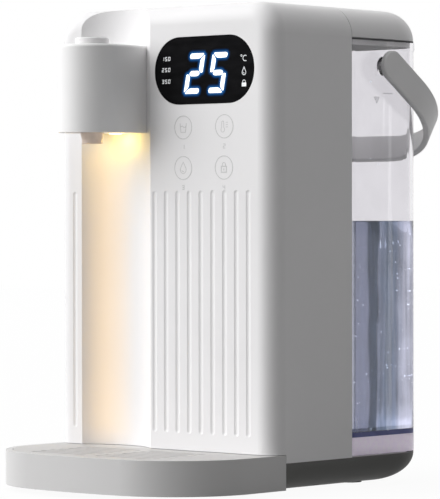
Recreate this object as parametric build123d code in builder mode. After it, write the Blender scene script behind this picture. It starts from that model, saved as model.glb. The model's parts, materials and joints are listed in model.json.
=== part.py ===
from build123d import *
import math
import os

os.makedirs("parts", exist_ok=True)

# Overall sizes in millimetres: X across the front, Y from front to back, Z up
body_width = 182.0
body_height = 300.0
housing_depth = 75.0
rear_depth = 160.0
seam_height = 20.0
foot_height = 1.6
wall = 3.0
front_round = 12.0
rear_corner = 36.0
crown_side = 20.0
crown_height = 19.2
keel_side = 29.0
quarter_turn = 90.0
fit_gap = 0.3
seat_gap = 0.15
slide_gap = 0.5

# Cup bay, a shallow upright channel in the front, and the fine flutes beside it
bay_x = -39.4
bay_width = 59.5
bay_depth = 11.0
flute_pitch = 9.66
flute_count = 9
flute_start_x = -6.1
flute_left_x = -75.0
flute_width = 3.7
flute_depth = 0.5
flute_drop = 114.5
flute_bottom = 35.6

# Display window, touch keys and the board behind them
display_x = 35.3
display_drop = 40.7
display_width = 82.0
display_height = 41.8
display_corner = 20.5
lens_thickness = 1.8
lens_ledge = 3.0
module_depth = 7.0
board_thickness = 1.6
control_board_width = 80.0
board_top_margin = 1.5
board_low_margin = 6.0
key_x = (18.1, 51.7)
key_drops = (75.6, 101.0)
touch_pad_diameter = 12.0
boss_diameter = 6.0
board_boss_inset = 4.0
small_screw = 2.4
small_head = 4.6
small_head_height = 1.6
screw_bite = 5.0

# Spout head with its button, nozzle and lamp
head_radius = 21.4
nozzle_reach = 21.2
head_drop = 23.5
head_height = 54.6
head_wall = 2.2
head_edge = 2.0
spout_plate = 2.5
nozzle_diameter = 15.0
nozzle_tip_diameter = 13.0
nozzle_drop = 7.0
nozzle_bore = 5.0
nozzle_flange = 19.0
nozzle_flange_height = 2.5
nozzle_stub = 12.0
barb_rise = 11.1
barb_diameter = 6.0
barb_length = 10.0
button_diameter = 21.0
button_rise = 4.5
button_travel = 3.0
button_flange = 25.0
button_flange_height = 2.3
button_edge = 1.2
button_stem = 6.0
stem_clearance = 0.08
guide_drop = 20.5
guide_thickness = 2.5
guide_leg = 4.0
guide_leg_drop = 9.0
guide_leg_offset = 10.0
switch_board = 10.0
switch_body = 6.0
switch_body_height = 3.5
switch_stud = 3.4
spring_wire = 0.8
button_spring_radius = 5.0
button_spring_turns = 5
lamp_back = 21.0
lamp_diameter = 8.0
lamp_flange = 1.2
lamp_board_size = 12.0
spout_boss = 7.0
spout_boss_drops = (33.5, 10.5)
spout_boss_length = 14.0
screw_diameter = 2.8
screw_head = 5.5
screw_head_height = 2.0

# Drip tray in front of the base
tray_reach = 82.0
tray_tuck = 12.0
tray_height = 25.0
tray_lift = 3.6
tray_corner = 58.0
tray_bow = 13.0
tray_wall = 4.0
tray_floor = 2.5
plate_thickness = 2.0
plate_ledge = 2.5
plate_back = 1.5
plate_slot_length = 46.0
plate_slot_width = 3.2
plate_slot_pitch = 8.0
plate_slot_rows = 7
tongue_x = 45.0
tongue_width = 24.0
tongue_thickness = 3.0
tongue_length = 8.0
tongue_height = 7.0
tray_foot_diameter = 9.0
tray_foot_x = 40.0
tray_foot_front = 36.0
tray_foot_back = 10.0

# Water tank, its lid and its carrying handle
tank_side_inset = 5.0
tank_rear_inset = 6.5
tank_rear_corner = 16.0
tank_gap = 2.0
tank_front_corner = 8.0
least_corner = 1.0
tank_wall_thickness = 2.2
tank_floor = 2.5
skirt_height = 11.2
skirt_lift = 0.5
gasket_height = 3.0
rim_height = 5.0
rim_overhang = 0.5
lid_seal_height = 1.0
lid_wall = 2.5
lid_gap = 0.5
lid_plug_depth = 4.0
lid_plug_wall = 2.0
lid_edge_gap = 0.7
lid_rest_gap = 0.1
handle_reach = 89.7
handle_tilt = 33.6
handle_corner = 60.5
handle_pivot_depth = 111.9
handle_pivot_drop = 15.9
handle_clearance = 0.6
strap_width = 19.0
strap_thickness = 4.0
strap_edge = 1.2
pivot_boss = 12.0
pivot_pin = 6.0
pivot_bite = 2.4
pivot_clearance = 0.06

# Tank valve and the socket that it drops into
valve_x = 34.0
valve_depth = 116.0
valve_neck = 16.0
valve_neck_drop = 19.0
valve_flange = 22.0
valve_flange_height = 2.0
valve_dome = 14.0
valve_dome_height = 8.0
valve_nut_diameter = 25.0
valve_nut_height = 5.0
valve_bore = 11.0
valve_stem = 4.0
valve_disc = 9.0
valve_disc_height = 2.0
valve_lift = 3.0
valve_spring_radius = 3.6
valve_spring_turns = 3
valve_wire = 0.6
socket_diameter = 26.0
socket_floor = 2.0
socket_clearance = 0.5
socket_flange = 32.0
socket_flange_height = 1.5
seal_height = 2.5
seal_width = 2.4

# Pump, heater and hoses
pump_x = 34.0
pump_front_share = 3 / 14
pump_diameter = 38.0
pump_body_height = 17.0
pump_cover_height = 2.5
pump_mount_height = 2.0
pump_mount_width = 5.0
chamber_diameter = 30.0
chamber_height = 10.0
impeller_diameter = 26.0
impeller_plate = 2.0
impeller_height = 7.0
impeller_blades = 6
shaft_diameter = 3.0
shaft_clearance = 0.05
motor_diameter = 32.0
motor_height = 40.0
motor_step = 22.0
motor_boss_height = 4.0
hose_outer = 8.0
hose_inner = 6.1
hose_overlap = 8.0
inlet_hose_rise = 6.5
outlet_hose_rise = 6.5
barb_bore = 4.0
hose_bend = 16.0
clip_width = 5.0
clip_thickness = 0.6
heater_tube_diameter = 28.0
heater_tube_wall = 3.0
heater_cap_diameter = 32.0
heater_cap_height = 14.0
heater_bottom = 62.0
heater_drop = 41.0
cap_floor = 6.0
bracket_width = 36.0
bracket_height = 12.0
bracket_inset = 22.0
cutout_diameter = 16.0
cutout_height = 8.0
probe_diameter = 4.0
probe_length = 16.0
probe_bite = 5.0

# Power board and mains inlet
power_board_standoff = 7.0
power_board_depth = 48.0
power_board_height = 90.0
power_board_z = 135.0
power_board_back = 6.0
transformer_size = (17.0, 24.0, 22.0)
relay_size = (15.0, 12.0, 20.0)
capacitor_diameter = 13.0
capacitor_length = 20.0
part_rise = 26.0
inlet_depth = 40.0
inlet_z = 45.0
inlet_body = (20.0, 27.0, 20.0)
inlet_flange = 4.0
inlet_flange_thickness = 2.0
inlet_wall = 2.0
inlet_well = 14.0
inlet_pin = (2.0, 4.0)
inlet_pin_pitch = 7.0
inlet_pin_z = -4.0

# Fasteners and feet of the housing
corner_boss = 8.0
base_boss_x = 70.0
base_boss_front = 27.0
base_boss_back = 13.0
base_boss_top = 32.0
back_boss_x = 76.0
back_boss_low = 62.0
back_boss_drop = 30.0
back_boss_length = 18.0
foot_diameter = 16.0
foot_x = 50.0
foot_depths = (45.0, 122.0)
foot_peg = 2.0
foot_peg_diameter = 5.0
deck_thickness = 3.0
deck_edge_gap = 1.4
deck_post = 9.0
deck_post_x = 55.0
deck_post_depths = (88.0, 118.0)

# Places worked out from the sizes above
half_width = body_width / 2
tilt = math.radians(handle_tilt)
handle_back = (
    handle_pivot_depth
    + (handle_reach + strap_thickness / 2 - strap_edge) * math.cos(tilt)
    + (strap_width / 2 - strap_edge) * math.sin(tilt)
    + strap_edge
)
face_y = (tray_reach - handle_back) / 2
bay_back_y = face_y + housing_depth
rear_y = face_y + rear_depth
inner_y = face_y + wall
bay_radius = ((bay_width / 2) ** 2 + bay_depth**2) / (2 * bay_depth)
bay_axis_y = face_y + bay_depth - bay_radius
step_y = face_y + tray_tuck + fit_gap
step_z = tray_height + fit_gap
crown_z = body_height - crown_height
flute_top = body_height - flute_drop
flute_radius = ((flute_width / 2) ** 2 + flute_depth**2) / (2 * flute_depth)
flute_axis_y = face_y + flute_depth - flute_radius
display_z = body_height - display_drop
key_z = [body_height - drop for drop in key_drops]
board_top_z = display_z + display_height / 2 + board_top_margin
board_low_z = min(key_z) - touch_pad_diameter / 2 - board_low_margin
head_top = body_height - head_drop
head_bottom = head_top - head_height
barb_height = head_bottom + barb_rise
guide_height = head_top - guide_drop
heater_top = barb_height - heater_drop
keel_height = seam_height - foot_height
plate_y = bay_back_y - wall
pan_floor_z = foot_height + wall
base_screw_seat = pan_floor_z + screw_head_height
deck_z = seam_height - deck_thickness
deck_screw_seat = seam_height - screw_head_height
deck_post_places = [
    (side * deck_post_x, face_y + depth) for side in (-1, 1) for depth in deck_post_depths
]
foot_places = [(side * foot_x, face_y + depth) for side in (-1, 1) for depth in foot_depths]
tray_foot_places = [
    (0, face_y - tray_reach + tray_foot_front),
    (-tray_foot_x, face_y - tray_foot_back),
    (tray_foot_x, face_y - tray_foot_back),
]
plate_middle_y = face_y - (tray_reach - tray_wall + plate_back) / 2
head_y = face_y - nozzle_reach
lamp_y = head_y + lamp_back
plate_top = head_bottom + spout_plate
nozzle_tip_z = head_bottom - nozzle_drop
barb_end_y = head_y + nozzle_stub / 2 + barb_length
flange_top_z = head_top - head_wall - fit_gap
switch_z = guide_height - guide_leg_drop
stem_end_z = switch_z + switch_body_height + button_travel + 4 * fit_gap
skirt_z = seam_height + skirt_lift
tank_z = skirt_z + skirt_height + gasket_height
rim_z = crown_z - lid_seal_height - lid_rest_gap
handle_pivot_height = rim_z - handle_pivot_drop
tank_half = half_width - tank_side_inset
lid_front_y = bay_back_y + lid_gap
pivot_y = face_y + handle_pivot_depth
handle_room = tank_side_inset + handle_clearance - slide_gap
bar_standoff = handle_reach - (rear_depth - tank_rear_inset - handle_pivot_depth) / math.cos(tilt)
widest_bend = bar_standoff + handle_room + math.sqrt(2 * bar_standoff * handle_room)
handle_bend = min(handle_corner, widest_bend)
strap_inner_x = half_width + handle_clearance
strap_outer_x = strap_inner_x + strap_thickness
boss_end_x = strap_inner_x - fit_gap
pin_end_x = strap_inner_x + pivot_bite
valve_y = face_y + valve_depth
neck_z = tank_z - valve_neck_drop
dome_z = tank_z + tank_floor + valve_flange_height
spring_seat_z = dome_z + valve_dome_height - wall / 2
valve_seat_z = neck_z + valve_neck_drop / 2
valve_disc_z = valve_seat_z + valve_lift
valve_tip_z = neck_z + slide_gap
socket_z = pan_floor_z + slide_gap
socket_top = seam_height + socket_flange_height
seal_outer = valve_neck + 2 * (fit_gap + seal_width)
foot_peg_hole = foot_peg_diameter + 2 * fit_gap
probe_hole = probe_diameter + 2 * fit_gap
dock_barb_y = valve_y - socket_diameter / 2 - barb_length
tongue_end_y = face_y + tray_tuck + tongue_length
pump_spare = plate_y - tongue_end_y - pump_diameter
pump_y = tongue_end_y + pump_front_share * pump_spare + pump_diameter / 2
pump_z = pan_floor_z + pump_mount_height
chamber_z = pump_z + pump_cover_height
inlet_hose_z = pan_floor_z + inlet_hose_rise
outlet_hose_z = chamber_z + outlet_hose_rise
pump_top = chamber_z + pump_body_height
impeller_z = chamber_z + slide_gap
shaft_top = pump_top + motor_boss_height + shaft_diameter
motor_top = pump_top + motor_boss_height + motor_height
pump_barb_y = pump_y + pump_diameter / 2 + barb_length
pump_barb_x = pump_x - pump_diameter / 2 - barb_length
heater_y = pump_y
heater_middle_z = (heater_bottom + heater_top) / 2
probe_z = heater_top - cap_floor / 2
probe_x = bay_x + heater_cap_diameter / 2 - probe_bite
cutout_x = bay_x + heater_tube_diameter / 2 + seat_gap
inlet_hose_near_y = pump_barb_y - hose_overlap
inlet_hose_far_y = dock_barb_y + hose_overlap
feed_start_x = pump_barb_x + hose_overlap
feed_end_z = heater_bottom - barb_length + hose_overlap
spout_hose_z = heater_top + barb_length - hose_overlap
spout_hose_y = barb_end_y - hose_overlap
power_y = plate_y - power_board_back - power_board_depth / 2
inlet_y = face_y + inlet_depth
inlet_floor_x = inlet_well - half_width
clip_inner = hose_outer + 2 * seat_gap
clip_outer = clip_inner + 2 * clip_thickness


def cylinder_between(x, y, z_low, z_high, diameter, mode=Mode.ADD):
    """An upright round bar, added to or cut from the part in hand."""
    with BuildSketch(Plane.XY.offset(z_low)) as section:
        with Locations((x, y)):
            Circle(diameter / 2)
    extrude(section.sketch, amount=z_high - z_low, mode=mode)


def bar_along_y(x, z, y_near, y_far, diameter, mode=Mode.ADD):
    """A round bar that runs from front to back."""
    with BuildSketch(Plane.XZ.offset(-y_near)) as section:
        with Locations((x, z)):
            Circle(diameter / 2)
    extrude(section.sketch, amount=-(y_far - y_near), mode=mode)


def bar_along_x(y, z, x_left, x_right, diameter, mode=Mode.ADD):
    """A round bar that runs from left to right."""
    with BuildSketch(Plane.YZ.offset(x_left)) as section:
        with Locations((y, z)):
            Circle(diameter / 2)
    extrude(section.sketch, amount=x_right - x_left, mode=mode)


def block(x_span, y_span, z_span, mode=Mode.ADD):
    """A square block between two places on each axis."""
    with BuildSketch(Plane.XY.offset(z_span[0])) as section:
        with Locations(((x_span[0] + x_span[1]) / 2, (y_span[0] + y_span[1]) / 2)):
            Rectangle(x_span[1] - x_span[0], y_span[1] - y_span[0])
    extrude(section.sketch, amount=z_span[1] - z_span[0], mode=mode)


def crowned_front(y, inset, bottom):
    """The housing seen from the front, drawn in by inset, with its crowned top corners."""
    side = half_width - inset
    top = body_height - inset
    run = crown_side - inset
    drop = crown_height - inset
    with BuildSketch(Plane.XZ.offset(-y)) as outline:
        with BuildLine():
            EllipticalCenterArc((side - run, top - drop), run, drop, 0, arc_size=quarter_turn)
            Line((side - run, top), (run - side, top))
            EllipticalCenterArc((run - side, top - drop), run, drop, quarter_turn, arc_size=quarter_turn)
            Polyline((-side, top - drop), (-side, bottom), (side, bottom), (side, top - drop))
        make_face()
    return outline.sketch


def rear_path(front_y):
    """The plan edge from the right side round the back to the left side."""
    with BuildLine() as path:
        FilletPolyline(
            (half_width, front_y), (half_width, rear_y), (-half_width, rear_y), (-half_width, front_y),
            radius=rear_corner,
        )
    return path.line


def rear_plan(z, front_y, inset):
    """The plan of the rear half, drawn in by inset from the sides and the back."""
    with BuildSketch(Plane.XY.offset(z)) as plan:
        with Locations((0, (front_y + rear_y - inset) / 2)):
            Rectangle(2 * (half_width - inset), rear_y - inset - front_y)
        fillet(plan.vertices().group_by(Axis.Y)[-1], rear_corner - inset)
    return plan.sketch


def tank_plan(z, inset):
    """The plan of the tank, drawn in by inset all round."""
    front = bay_back_y + tank_gap + inset
    back = rear_y - tank_rear_inset - inset
    with BuildSketch(Plane.XY.offset(z)) as plan:
        with Locations((0, (front + back) / 2)):
            Rectangle(2 * (tank_half - inset), back - front)
        fillet(plan.vertices().group_by(Axis.Y)[0], max(tank_front_corner - inset, least_corner))
        fillet(plan.vertices().group_by(Axis.Y)[-1], tank_rear_corner - inset)
    return plan.sketch


def tray_plan(z, inset, rear_inset):
    """The bowed plan of the tray, drawn in by inset, and by rear_inset at the housing."""
    side = half_width - inset
    front = face_y - tray_reach + inset
    back = face_y + tray_tuck - rear_inset
    with BuildSketch(Plane.XY.offset(z)) as plan:
        with BuildLine():
            ThreePointArc((-side, front + tray_bow), (0, front), (side, front + tray_bow))
            Polyline((side, front + tray_bow), (side, back), (-side, back), (-side, front + tray_bow))
        make_face()
        fillet(plan.vertices().group_by(Axis.Y)[0], tray_corner - inset)
    return plan.sketch


def capped_front(y, base_z, run, rise, turn):
    """A flat-based end shape with rounded corners, above its base if turn is 1 and below if -1."""
    far_z = base_z + turn * rise
    with BuildSketch(Plane.XZ.offset(-y)) as outline:
        with BuildLine():
            EllipticalCenterArc((half_width - run, base_z), run, rise, 0, arc_size=quarter_turn * turn)
            Line((half_width - run, far_z), (run - half_width, far_z))
            EllipticalCenterArc(
                (run - half_width, base_z), run, rise, 2 * quarter_turn, arc_size=-quarter_turn * turn
            )
            Line((-half_width, base_z), (half_width, base_z))
        make_face()
    return outline.sketch


def rim_section(y, base_z, run, rise, thickness, turn):
    """The cross-section of a rounded rim at the right side, above its base or below it."""
    centre = (half_width - run, base_z)
    with BuildSketch(Plane.XZ.offset(-y)) as section:
        with BuildLine():
            EllipticalCenterArc(centre, run, rise, 0, arc_size=quarter_turn * turn)
            Line((centre[0], base_z + turn * rise), (centre[0], base_z + turn * (rise - thickness)))
            EllipticalCenterArc(centre, run - thickness, rise - thickness, 0, arc_size=quarter_turn * turn)
            Line((half_width - thickness, base_z), (half_width, base_z))
        make_face()
    return section.sketch


def head_plan(z, inset):
    """The plan of the spout head, a round nose with straight sides that run into the cup bay."""
    radius = head_radius - inset
    back = face_y + bay_depth
    with BuildSketch(Plane.XY.offset(z)) as plan:
        with Locations((bay_x, head_y)):
            Circle(radius)
        with Locations((bay_x, (head_y + back) / 2)):
            Rectangle(2 * radius, back - head_y)
    return plan.sketch


def coil_spring(place, z_low, z_high, radius, turns, wire):
    """A coil spring that stands between two seats, clear of both by a small gap."""
    height = z_high - z_low - wire - 2 * seat_gap
    start = z_low + wire / 2 + seat_gap
    with BuildLine() as coil:
        Helix(height / turns, height, radius, center=(place[0], place[1], start))
    with BuildSketch(Plane(origin=coil.line @ 0, z_dir=coil.line % 0)) as section:
        Circle(wire / 2)
    sweep(section.sketch, path=coil.line)


def save(piece, name):
    """Label a finished piece and write it."""
    piece.part.label = name
    export_step(piece.part, f"parts/{name}.step")


# Front housing: one moulding with the face, the sides and the top, open behind and below
with BuildPart() as housing_cavity:
    extrude(crowned_front(inner_y, wall, seam_height - wall), amount=-(housing_depth + wall))
    cavity_front = housing_cavity.faces().sort_by(Axis.Y)[0]
    fillet(cavity_front.edges().filter_by(lambda e: e.center().Z > seam_height), front_round - wall)
    cylinder_between(bay_x, bay_axis_y, 0, body_height, 2 * (bay_radius + wall), Mode.SUBTRACT)
    block((-half_width, half_width), (face_y, step_y + wall), (0, step_z + wall), Mode.SUBTRACT)

board_y = face_y + wall + module_depth
board_boss_x = control_board_width / 2 - board_boss_inset
board_boss_places = [
    (display_x + side * board_boss_x, z)
    for side in (-1, 1) for z in (board_low_z + board_boss_inset, board_top_z - board_boss_inset)
]
spout_boss_x = head_radius - (head_wall + spout_boss) / 2
spout_boss_places = [
    (bay_x + side * spout_boss_x, head_top - drop) for side in (-1, 1) for drop in spout_boss_drops
]
base_boss_places = [
    (side * base_boss_x, y)
    for side in (-1, 1) for y in (face_y + base_boss_front, bay_back_y - base_boss_back)
]
back_boss_places = [
    (side * back_boss_x, z) for side in (-1, 1) for z in (back_boss_low, body_height - back_boss_drop)
]
power_x = half_width - wall - power_board_standoff
power_boss_y = power_board_depth / 2 - board_boss_inset
power_boss_z = power_board_height / 2 - board_boss_inset
power_boss_places = [
    (power_y + side * power_boss_y, power_board_z + level * power_boss_z)
    for side in (-1, 1) for level in (-1, 1)
]
flute_places = [flute_left_x] + [flute_start_x + flute_pitch * n for n in range(flute_count)]
flute_ends = (flute_bottom + flute_width / 2, flute_top - flute_width / 2)
spout_pad_y = face_y + bay_depth + wall
spout_boss_y = spout_pad_y - spout_boss_length - wall

with BuildPart() as front_housing:
    extrude(crowned_front(face_y, 0, seam_height), amount=-housing_depth)
    housing_front = front_housing.faces().sort_by(Axis.Y)[0]
    fillet(housing_front.edges().filter_by(lambda e: e.center().Z > seam_height), front_round)
    add(housing_cavity.part, mode=Mode.SUBTRACT)
    for x, z in board_boss_places:
        bar_along_y(x, z, face_y + lens_thickness, board_y, boss_diameter)
    for x, z in spout_boss_places:
        bar_along_y(x, z, face_y + wall, spout_pad_y, corner_boss)
    for y, z in power_boss_places:
        bar_along_x(y, z, power_x, half_width - wall / 2, boss_diameter)
    for x, y in base_boss_places:
        side_x = math.copysign(half_width - wall / 2, x)
        cylinder_between(x, y, seam_height, base_boss_top, corner_boss)
        block(sorted((x, side_x)), (y - wall / 2, y + wall / 2), (seam_height, base_boss_top))
    for x, z in back_boss_places:
        side_x = math.copysign(half_width - wall / 2, x)
        bar_along_y(x, z, plate_y - back_boss_length, plate_y, corner_boss)
        block(sorted((x, side_x)), (plate_y - back_boss_length, plate_y), (z - wall / 2, z + wall / 2))
    cylinder_between(bay_x, bay_axis_y, 0, body_height, 2 * bay_radius, Mode.SUBTRACT)
    block((-half_width, half_width), (face_y - wall, step_y), (0, step_z), Mode.SUBTRACT)
    with BuildSketch(Plane.XZ.offset(-face_y)):
        with Locations((display_x, display_z)):
            RectangleRounded(display_width, display_height, display_corner)
    extrude(amount=-lens_thickness, mode=Mode.SUBTRACT)
    with BuildSketch(Plane.XZ.offset(-face_y)):
        with Locations((display_x, display_z)):
            RectangleRounded(
                display_width - 2 * lens_ledge, display_height - 2 * lens_ledge, display_corner - lens_ledge
            )
    extrude(amount=-wall, mode=Mode.SUBTRACT)
    for x in flute_places:
        cylinder_between(x, flute_axis_y, flute_ends[0], flute_ends[1], 2 * flute_radius, Mode.SUBTRACT)
        with Locations([(x, flute_axis_y, z) for z in flute_ends]):
            Sphere(flute_radius, mode=Mode.SUBTRACT)
    for x, z in board_boss_places:
        bar_along_y(x, z, board_y - screw_bite, board_y, small_screw, Mode.SUBTRACT)
    for x, z in spout_boss_places:
        bar_along_y(x, z, face_y - wall, spout_pad_y, screw_diameter, Mode.SUBTRACT)
    for y, z in power_boss_places:
        bar_along_x(y, z, power_x, power_x + screw_bite, small_screw, Mode.SUBTRACT)
    for x, y in base_boss_places:
        cylinder_between(x, y, seam_height, base_boss_top - wall, screw_diameter, Mode.SUBTRACT)
    for x, z in back_boss_places:
        bar_along_y(x, z, plate_y - back_boss_length + wall, plate_y, screw_diameter, Mode.SUBTRACT)
    bar_along_y(bay_x, barb_height, face_y, spout_pad_y, hose_outer + 2 * slide_gap, Mode.SUBTRACT)
    block(
        (-half_width - wall, wall - half_width),
        (inlet_y - inlet_body[1] / 2 - seat_gap, inlet_y + inlet_body[1] / 2 + seat_gap),
        (inlet_z - inlet_body[2] / 2 - seat_gap, inlet_z + inlet_body[2] / 2 + seat_gap),
        Mode.SUBTRACT,
    )
save(front_housing, "front_housing")

# Back plate that closes the housing towards the tank
with BuildPart() as back_plate:
    extrude(crowned_front(plate_y, wall + seat_gap, seam_height), amount=-wall)
    for x, z in back_boss_places:
        bar_along_y(x, z, plate_y, bay_back_y, screw_diameter, Mode.SUBTRACT)
        bar_along_y(x, z, bay_back_y - screw_head_height, bay_back_y, screw_head + seat_gap, Mode.SUBTRACT)
save(back_plate, "back_plate")

with BuildPart() as back_screws:
    for x, z in back_boss_places:
        bar_along_y(x, z, bay_back_y - screw_head_height, bay_back_y, screw_head)
        bar_along_y(x, z, plate_y - screw_bite, bay_back_y, screw_diameter)
save(back_screws, "back_screws")

# Base pan under the housing and the tank, with a rounded keel
with BuildPart() as base_pan:
    sweep(rim_section(step_y, seam_height, keel_side, keel_height, wall, -1), path=rear_path(step_y))
    extrude(rear_plan(foot_height, step_y, keel_side), amount=wall)
    extrude(capped_front(step_y, seam_height, keel_side, keel_height, -1), amount=-wall)
    for x, y in base_boss_places:
        cylinder_between(x, y, foot_height + wall / 2, seam_height, corner_boss)
    for x, y in deck_post_places:
        cylinder_between(x, y, foot_height + wall / 2, deck_z, deck_post)
    for x, y in base_boss_places:
        cylinder_between(x, y, 0, seam_height, screw_diameter, Mode.SUBTRACT)
        cylinder_between(x, y, 0, base_screw_seat, screw_head + 2 * seat_gap, Mode.SUBTRACT)
    for x, y in deck_post_places:
        cylinder_between(x, y, deck_z - screw_bite, deck_z, screw_diameter, Mode.SUBTRACT)
    for x, y in foot_places:
        cylinder_between(x, y, foot_height, foot_height + foot_peg, foot_peg_hole, Mode.SUBTRACT)
    for side in (-1, 1):
        block(
            (side * tongue_x - tongue_width / 2 - slide_gap, side * tongue_x + tongue_width / 2 + slide_gap),
            (step_y, step_y + wall),
            (tongue_height - slide_gap, tongue_height + tongue_thickness + slide_gap),
            Mode.SUBTRACT,
        )
save(base_pan, "base_pan")

with BuildPart() as base_feet:
    for x, y in foot_places:
        cylinder_between(x, y, 0, foot_height, foot_diameter)
        cylinder_between(x, y, foot_height, foot_height + foot_peg, foot_peg_diameter)
save(base_feet, "base_feet")

with BuildPart() as base_screws:
    for x, y in base_boss_places:
        cylinder_between(x, y, base_screw_seat - screw_head_height, base_screw_seat, screw_head)
        cylinder_between(x, y, base_screw_seat, seam_height + screw_bite, screw_diameter)
save(base_screws, "base_screws")

# Deck that the tank stands on
with BuildPart() as dock_deck:
    extrude(rear_plan(deck_z, plate_y, wall + deck_edge_gap), amount=deck_thickness)
    cylinder_between(valve_x, valve_y, deck_z, seam_height, socket_diameter + 2 * seat_gap, Mode.SUBTRACT)
    block(
        (valve_x - clip_outer / 2 - slide_gap, valve_x + clip_outer / 2 + slide_gap),
        (plate_y, valve_y),
        (deck_z, seam_height),
        Mode.SUBTRACT,
    )
    for x, y in deck_post_places:
        cylinder_between(x, y, deck_z, seam_height, screw_diameter, Mode.SUBTRACT)
        cylinder_between(x, y, deck_screw_seat, seam_height, screw_head + 2 * seat_gap, Mode.SUBTRACT)
save(dock_deck, "dock_deck")

with BuildPart() as deck_screws:
    for x, y in deck_post_places:
        cylinder_between(x, y, deck_screw_seat, seam_height, screw_head)
        cylinder_between(x, y, deck_z - screw_bite, deck_screw_seat, screw_diameter)
save(deck_screws, "deck_screws")

# Display, touch keys and their board
with BuildPart() as display_lens:
    with BuildSketch(Plane.XZ.offset(-face_y)):
        with Locations((display_x, display_z)):
            RectangleRounded(
                display_width - 2 * seat_gap, display_height - 2 * seat_gap, display_corner - seat_gap
            )
    extrude(amount=-lens_thickness)
save(display_lens, "display_lens")

with BuildPart() as display_module:
    with BuildSketch(Plane.XZ.offset(-(face_y + lens_thickness))):
        with Locations((display_x, display_z)):
            RectangleRounded(
                display_width - 2 * (lens_ledge + slide_gap),
                display_height - 2 * (lens_ledge + slide_gap),
                display_corner - lens_ledge - slide_gap,
            )
    extrude(amount=-(board_y - face_y - lens_thickness))
save(display_module, "display_module")

with BuildPart() as control_board:
    block(
        (display_x - control_board_width / 2, display_x + control_board_width / 2),
        (board_y, board_y + board_thickness),
        (board_low_z, board_top_z),
    )
    for x, z in board_boss_places:
        bar_along_y(x, z, board_y, board_y + board_thickness, small_screw, Mode.SUBTRACT)
save(control_board, "control_board")

with BuildPart() as touch_pads:
    for x in key_x:
        for z in key_z:
            bar_along_y(x, z, inner_y, board_y, touch_pad_diameter)
save(touch_pads, "touch_pads")

with BuildPart() as board_screws:
    for x, z in board_boss_places:
        head_y_near = board_y + board_thickness
        bar_along_y(x, z, head_y_near, head_y_near + small_head_height, small_head)
        bar_along_y(x, z, board_y - screw_bite, head_y_near, small_screw)
    for y, z in power_boss_places:
        head_x = power_x - board_thickness
        bar_along_x(y, z, head_x - small_head_height, head_x, small_head)
        bar_along_x(y, z, head_x, power_x + screw_bite, small_screw)
save(board_screws, "board_screws")

# Spout head, an upright shell that stands out of the cup bay
with BuildPart() as spout_head:
    extrude(head_plan(head_bottom, 0), amount=head_top - head_bottom)
    top_edges = spout_head.faces().sort_by(Axis.Z)[-1].edges().filter_by(lambda e: e.center().Y < face_y)
    fillet(top_edges, head_edge)
    extrude(head_plan(head_bottom, head_wall), amount=head_top - head_wall - head_bottom, mode=Mode.SUBTRACT)
    for x, z in spout_boss_places:
        bar_along_y(x, z, spout_boss_y, spout_pad_y, spout_boss)
    cylinder_between(
        bay_x, bay_axis_y, head_bottom, head_top, 2 * (bay_radius - seat_gap), Mode.INTERSECT
    )
    for x, z in spout_boss_places:
        bar_along_y(x, z, spout_boss_y + wall, spout_pad_y, screw_diameter, Mode.SUBTRACT)
    cylinder_between(
        bay_x, head_y, head_top - head_wall, head_top, button_diameter + 2 * fit_gap, Mode.SUBTRACT
    )
save(spout_head, "spout_head")

with BuildPart() as spout_screws:
    for x, z in spout_boss_places:
        bar_along_y(x, z, spout_pad_y, spout_pad_y + screw_head_height, screw_head)
        bar_along_y(x, z, spout_boss_y + wall, spout_pad_y, screw_diameter)
save(spout_screws, "spout_screws")

with BuildPart() as spout_bottom:
    extrude(head_plan(head_bottom, head_wall + seat_gap), amount=spout_plate)
    cylinder_between(
        bay_x, bay_axis_y, head_bottom, head_top, 2 * (bay_radius - fit_gap), Mode.INTERSECT
    )
    cylinder_between(bay_x, head_y, head_bottom, plate_top, nozzle_diameter + 2 * seat_gap, Mode.SUBTRACT)
    cylinder_between(bay_x, lamp_y, head_bottom, plate_top, lamp_diameter + 2 * seat_gap, Mode.SUBTRACT)
save(spout_bottom, "spout_bottom")

# Nozzle with a side barb for the hose
with BuildPart() as nozzle:
    with BuildSketch(Plane.XZ.offset(-head_y)):
        with BuildLine():
            Polyline(
                (bay_x, nozzle_tip_z),
                (bay_x + nozzle_tip_diameter / 2, nozzle_tip_z),
                (bay_x + nozzle_tip_diameter / 2, nozzle_tip_z + spout_plate),
                (bay_x + nozzle_diameter / 2, head_bottom - seat_gap),
                (bay_x + nozzle_diameter / 2, plate_top),
                (bay_x + nozzle_flange / 2, plate_top),
                (bay_x + nozzle_flange / 2, plate_top + nozzle_flange_height),
                (bay_x + nozzle_stub / 2, plate_top + nozzle_flange_height),
                (bay_x + nozzle_stub / 2, barb_height + nozzle_stub / 2),
                (bay_x, barb_height + nozzle_stub / 2),
                close=True,
            )
        make_face()
    revolve(axis=Axis((bay_x, head_y, 0), (0, 0, 1)))
    bar_along_y(bay_x, barb_height, head_y, barb_end_y, barb_diameter)
    cylinder_between(bay_x, head_y, nozzle_tip_z, barb_height, nozzle_bore, Mode.SUBTRACT)
    bar_along_y(bay_x, barb_height, head_y, barb_end_y, barb_bore, Mode.SUBTRACT)
save(nozzle, "nozzle")

# Lamp that lights the cup bay
with BuildPart() as lamp_lens:
    cylinder_between(bay_x, lamp_y, head_bottom - lamp_flange / 2, plate_top, lamp_diameter)
    cylinder_between(bay_x, lamp_y, plate_top, plate_top + lamp_flange, lamp_diameter + 2 * lamp_flange)
    fillet(lamp_lens.edges().group_by(Axis.Z)[0], lamp_flange / 3)
save(lamp_lens, "lamp_lens")

with BuildPart() as lamp_board:
    block(
        (bay_x - lamp_board_size / 2, bay_x + lamp_board_size / 2),
        (lamp_y - lamp_board_size / 2, lamp_y + lamp_board_size / 2),
        (plate_top + lamp_flange, plate_top + lamp_flange + board_thickness),
    )
save(lamp_board, "lamp_board")

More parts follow.
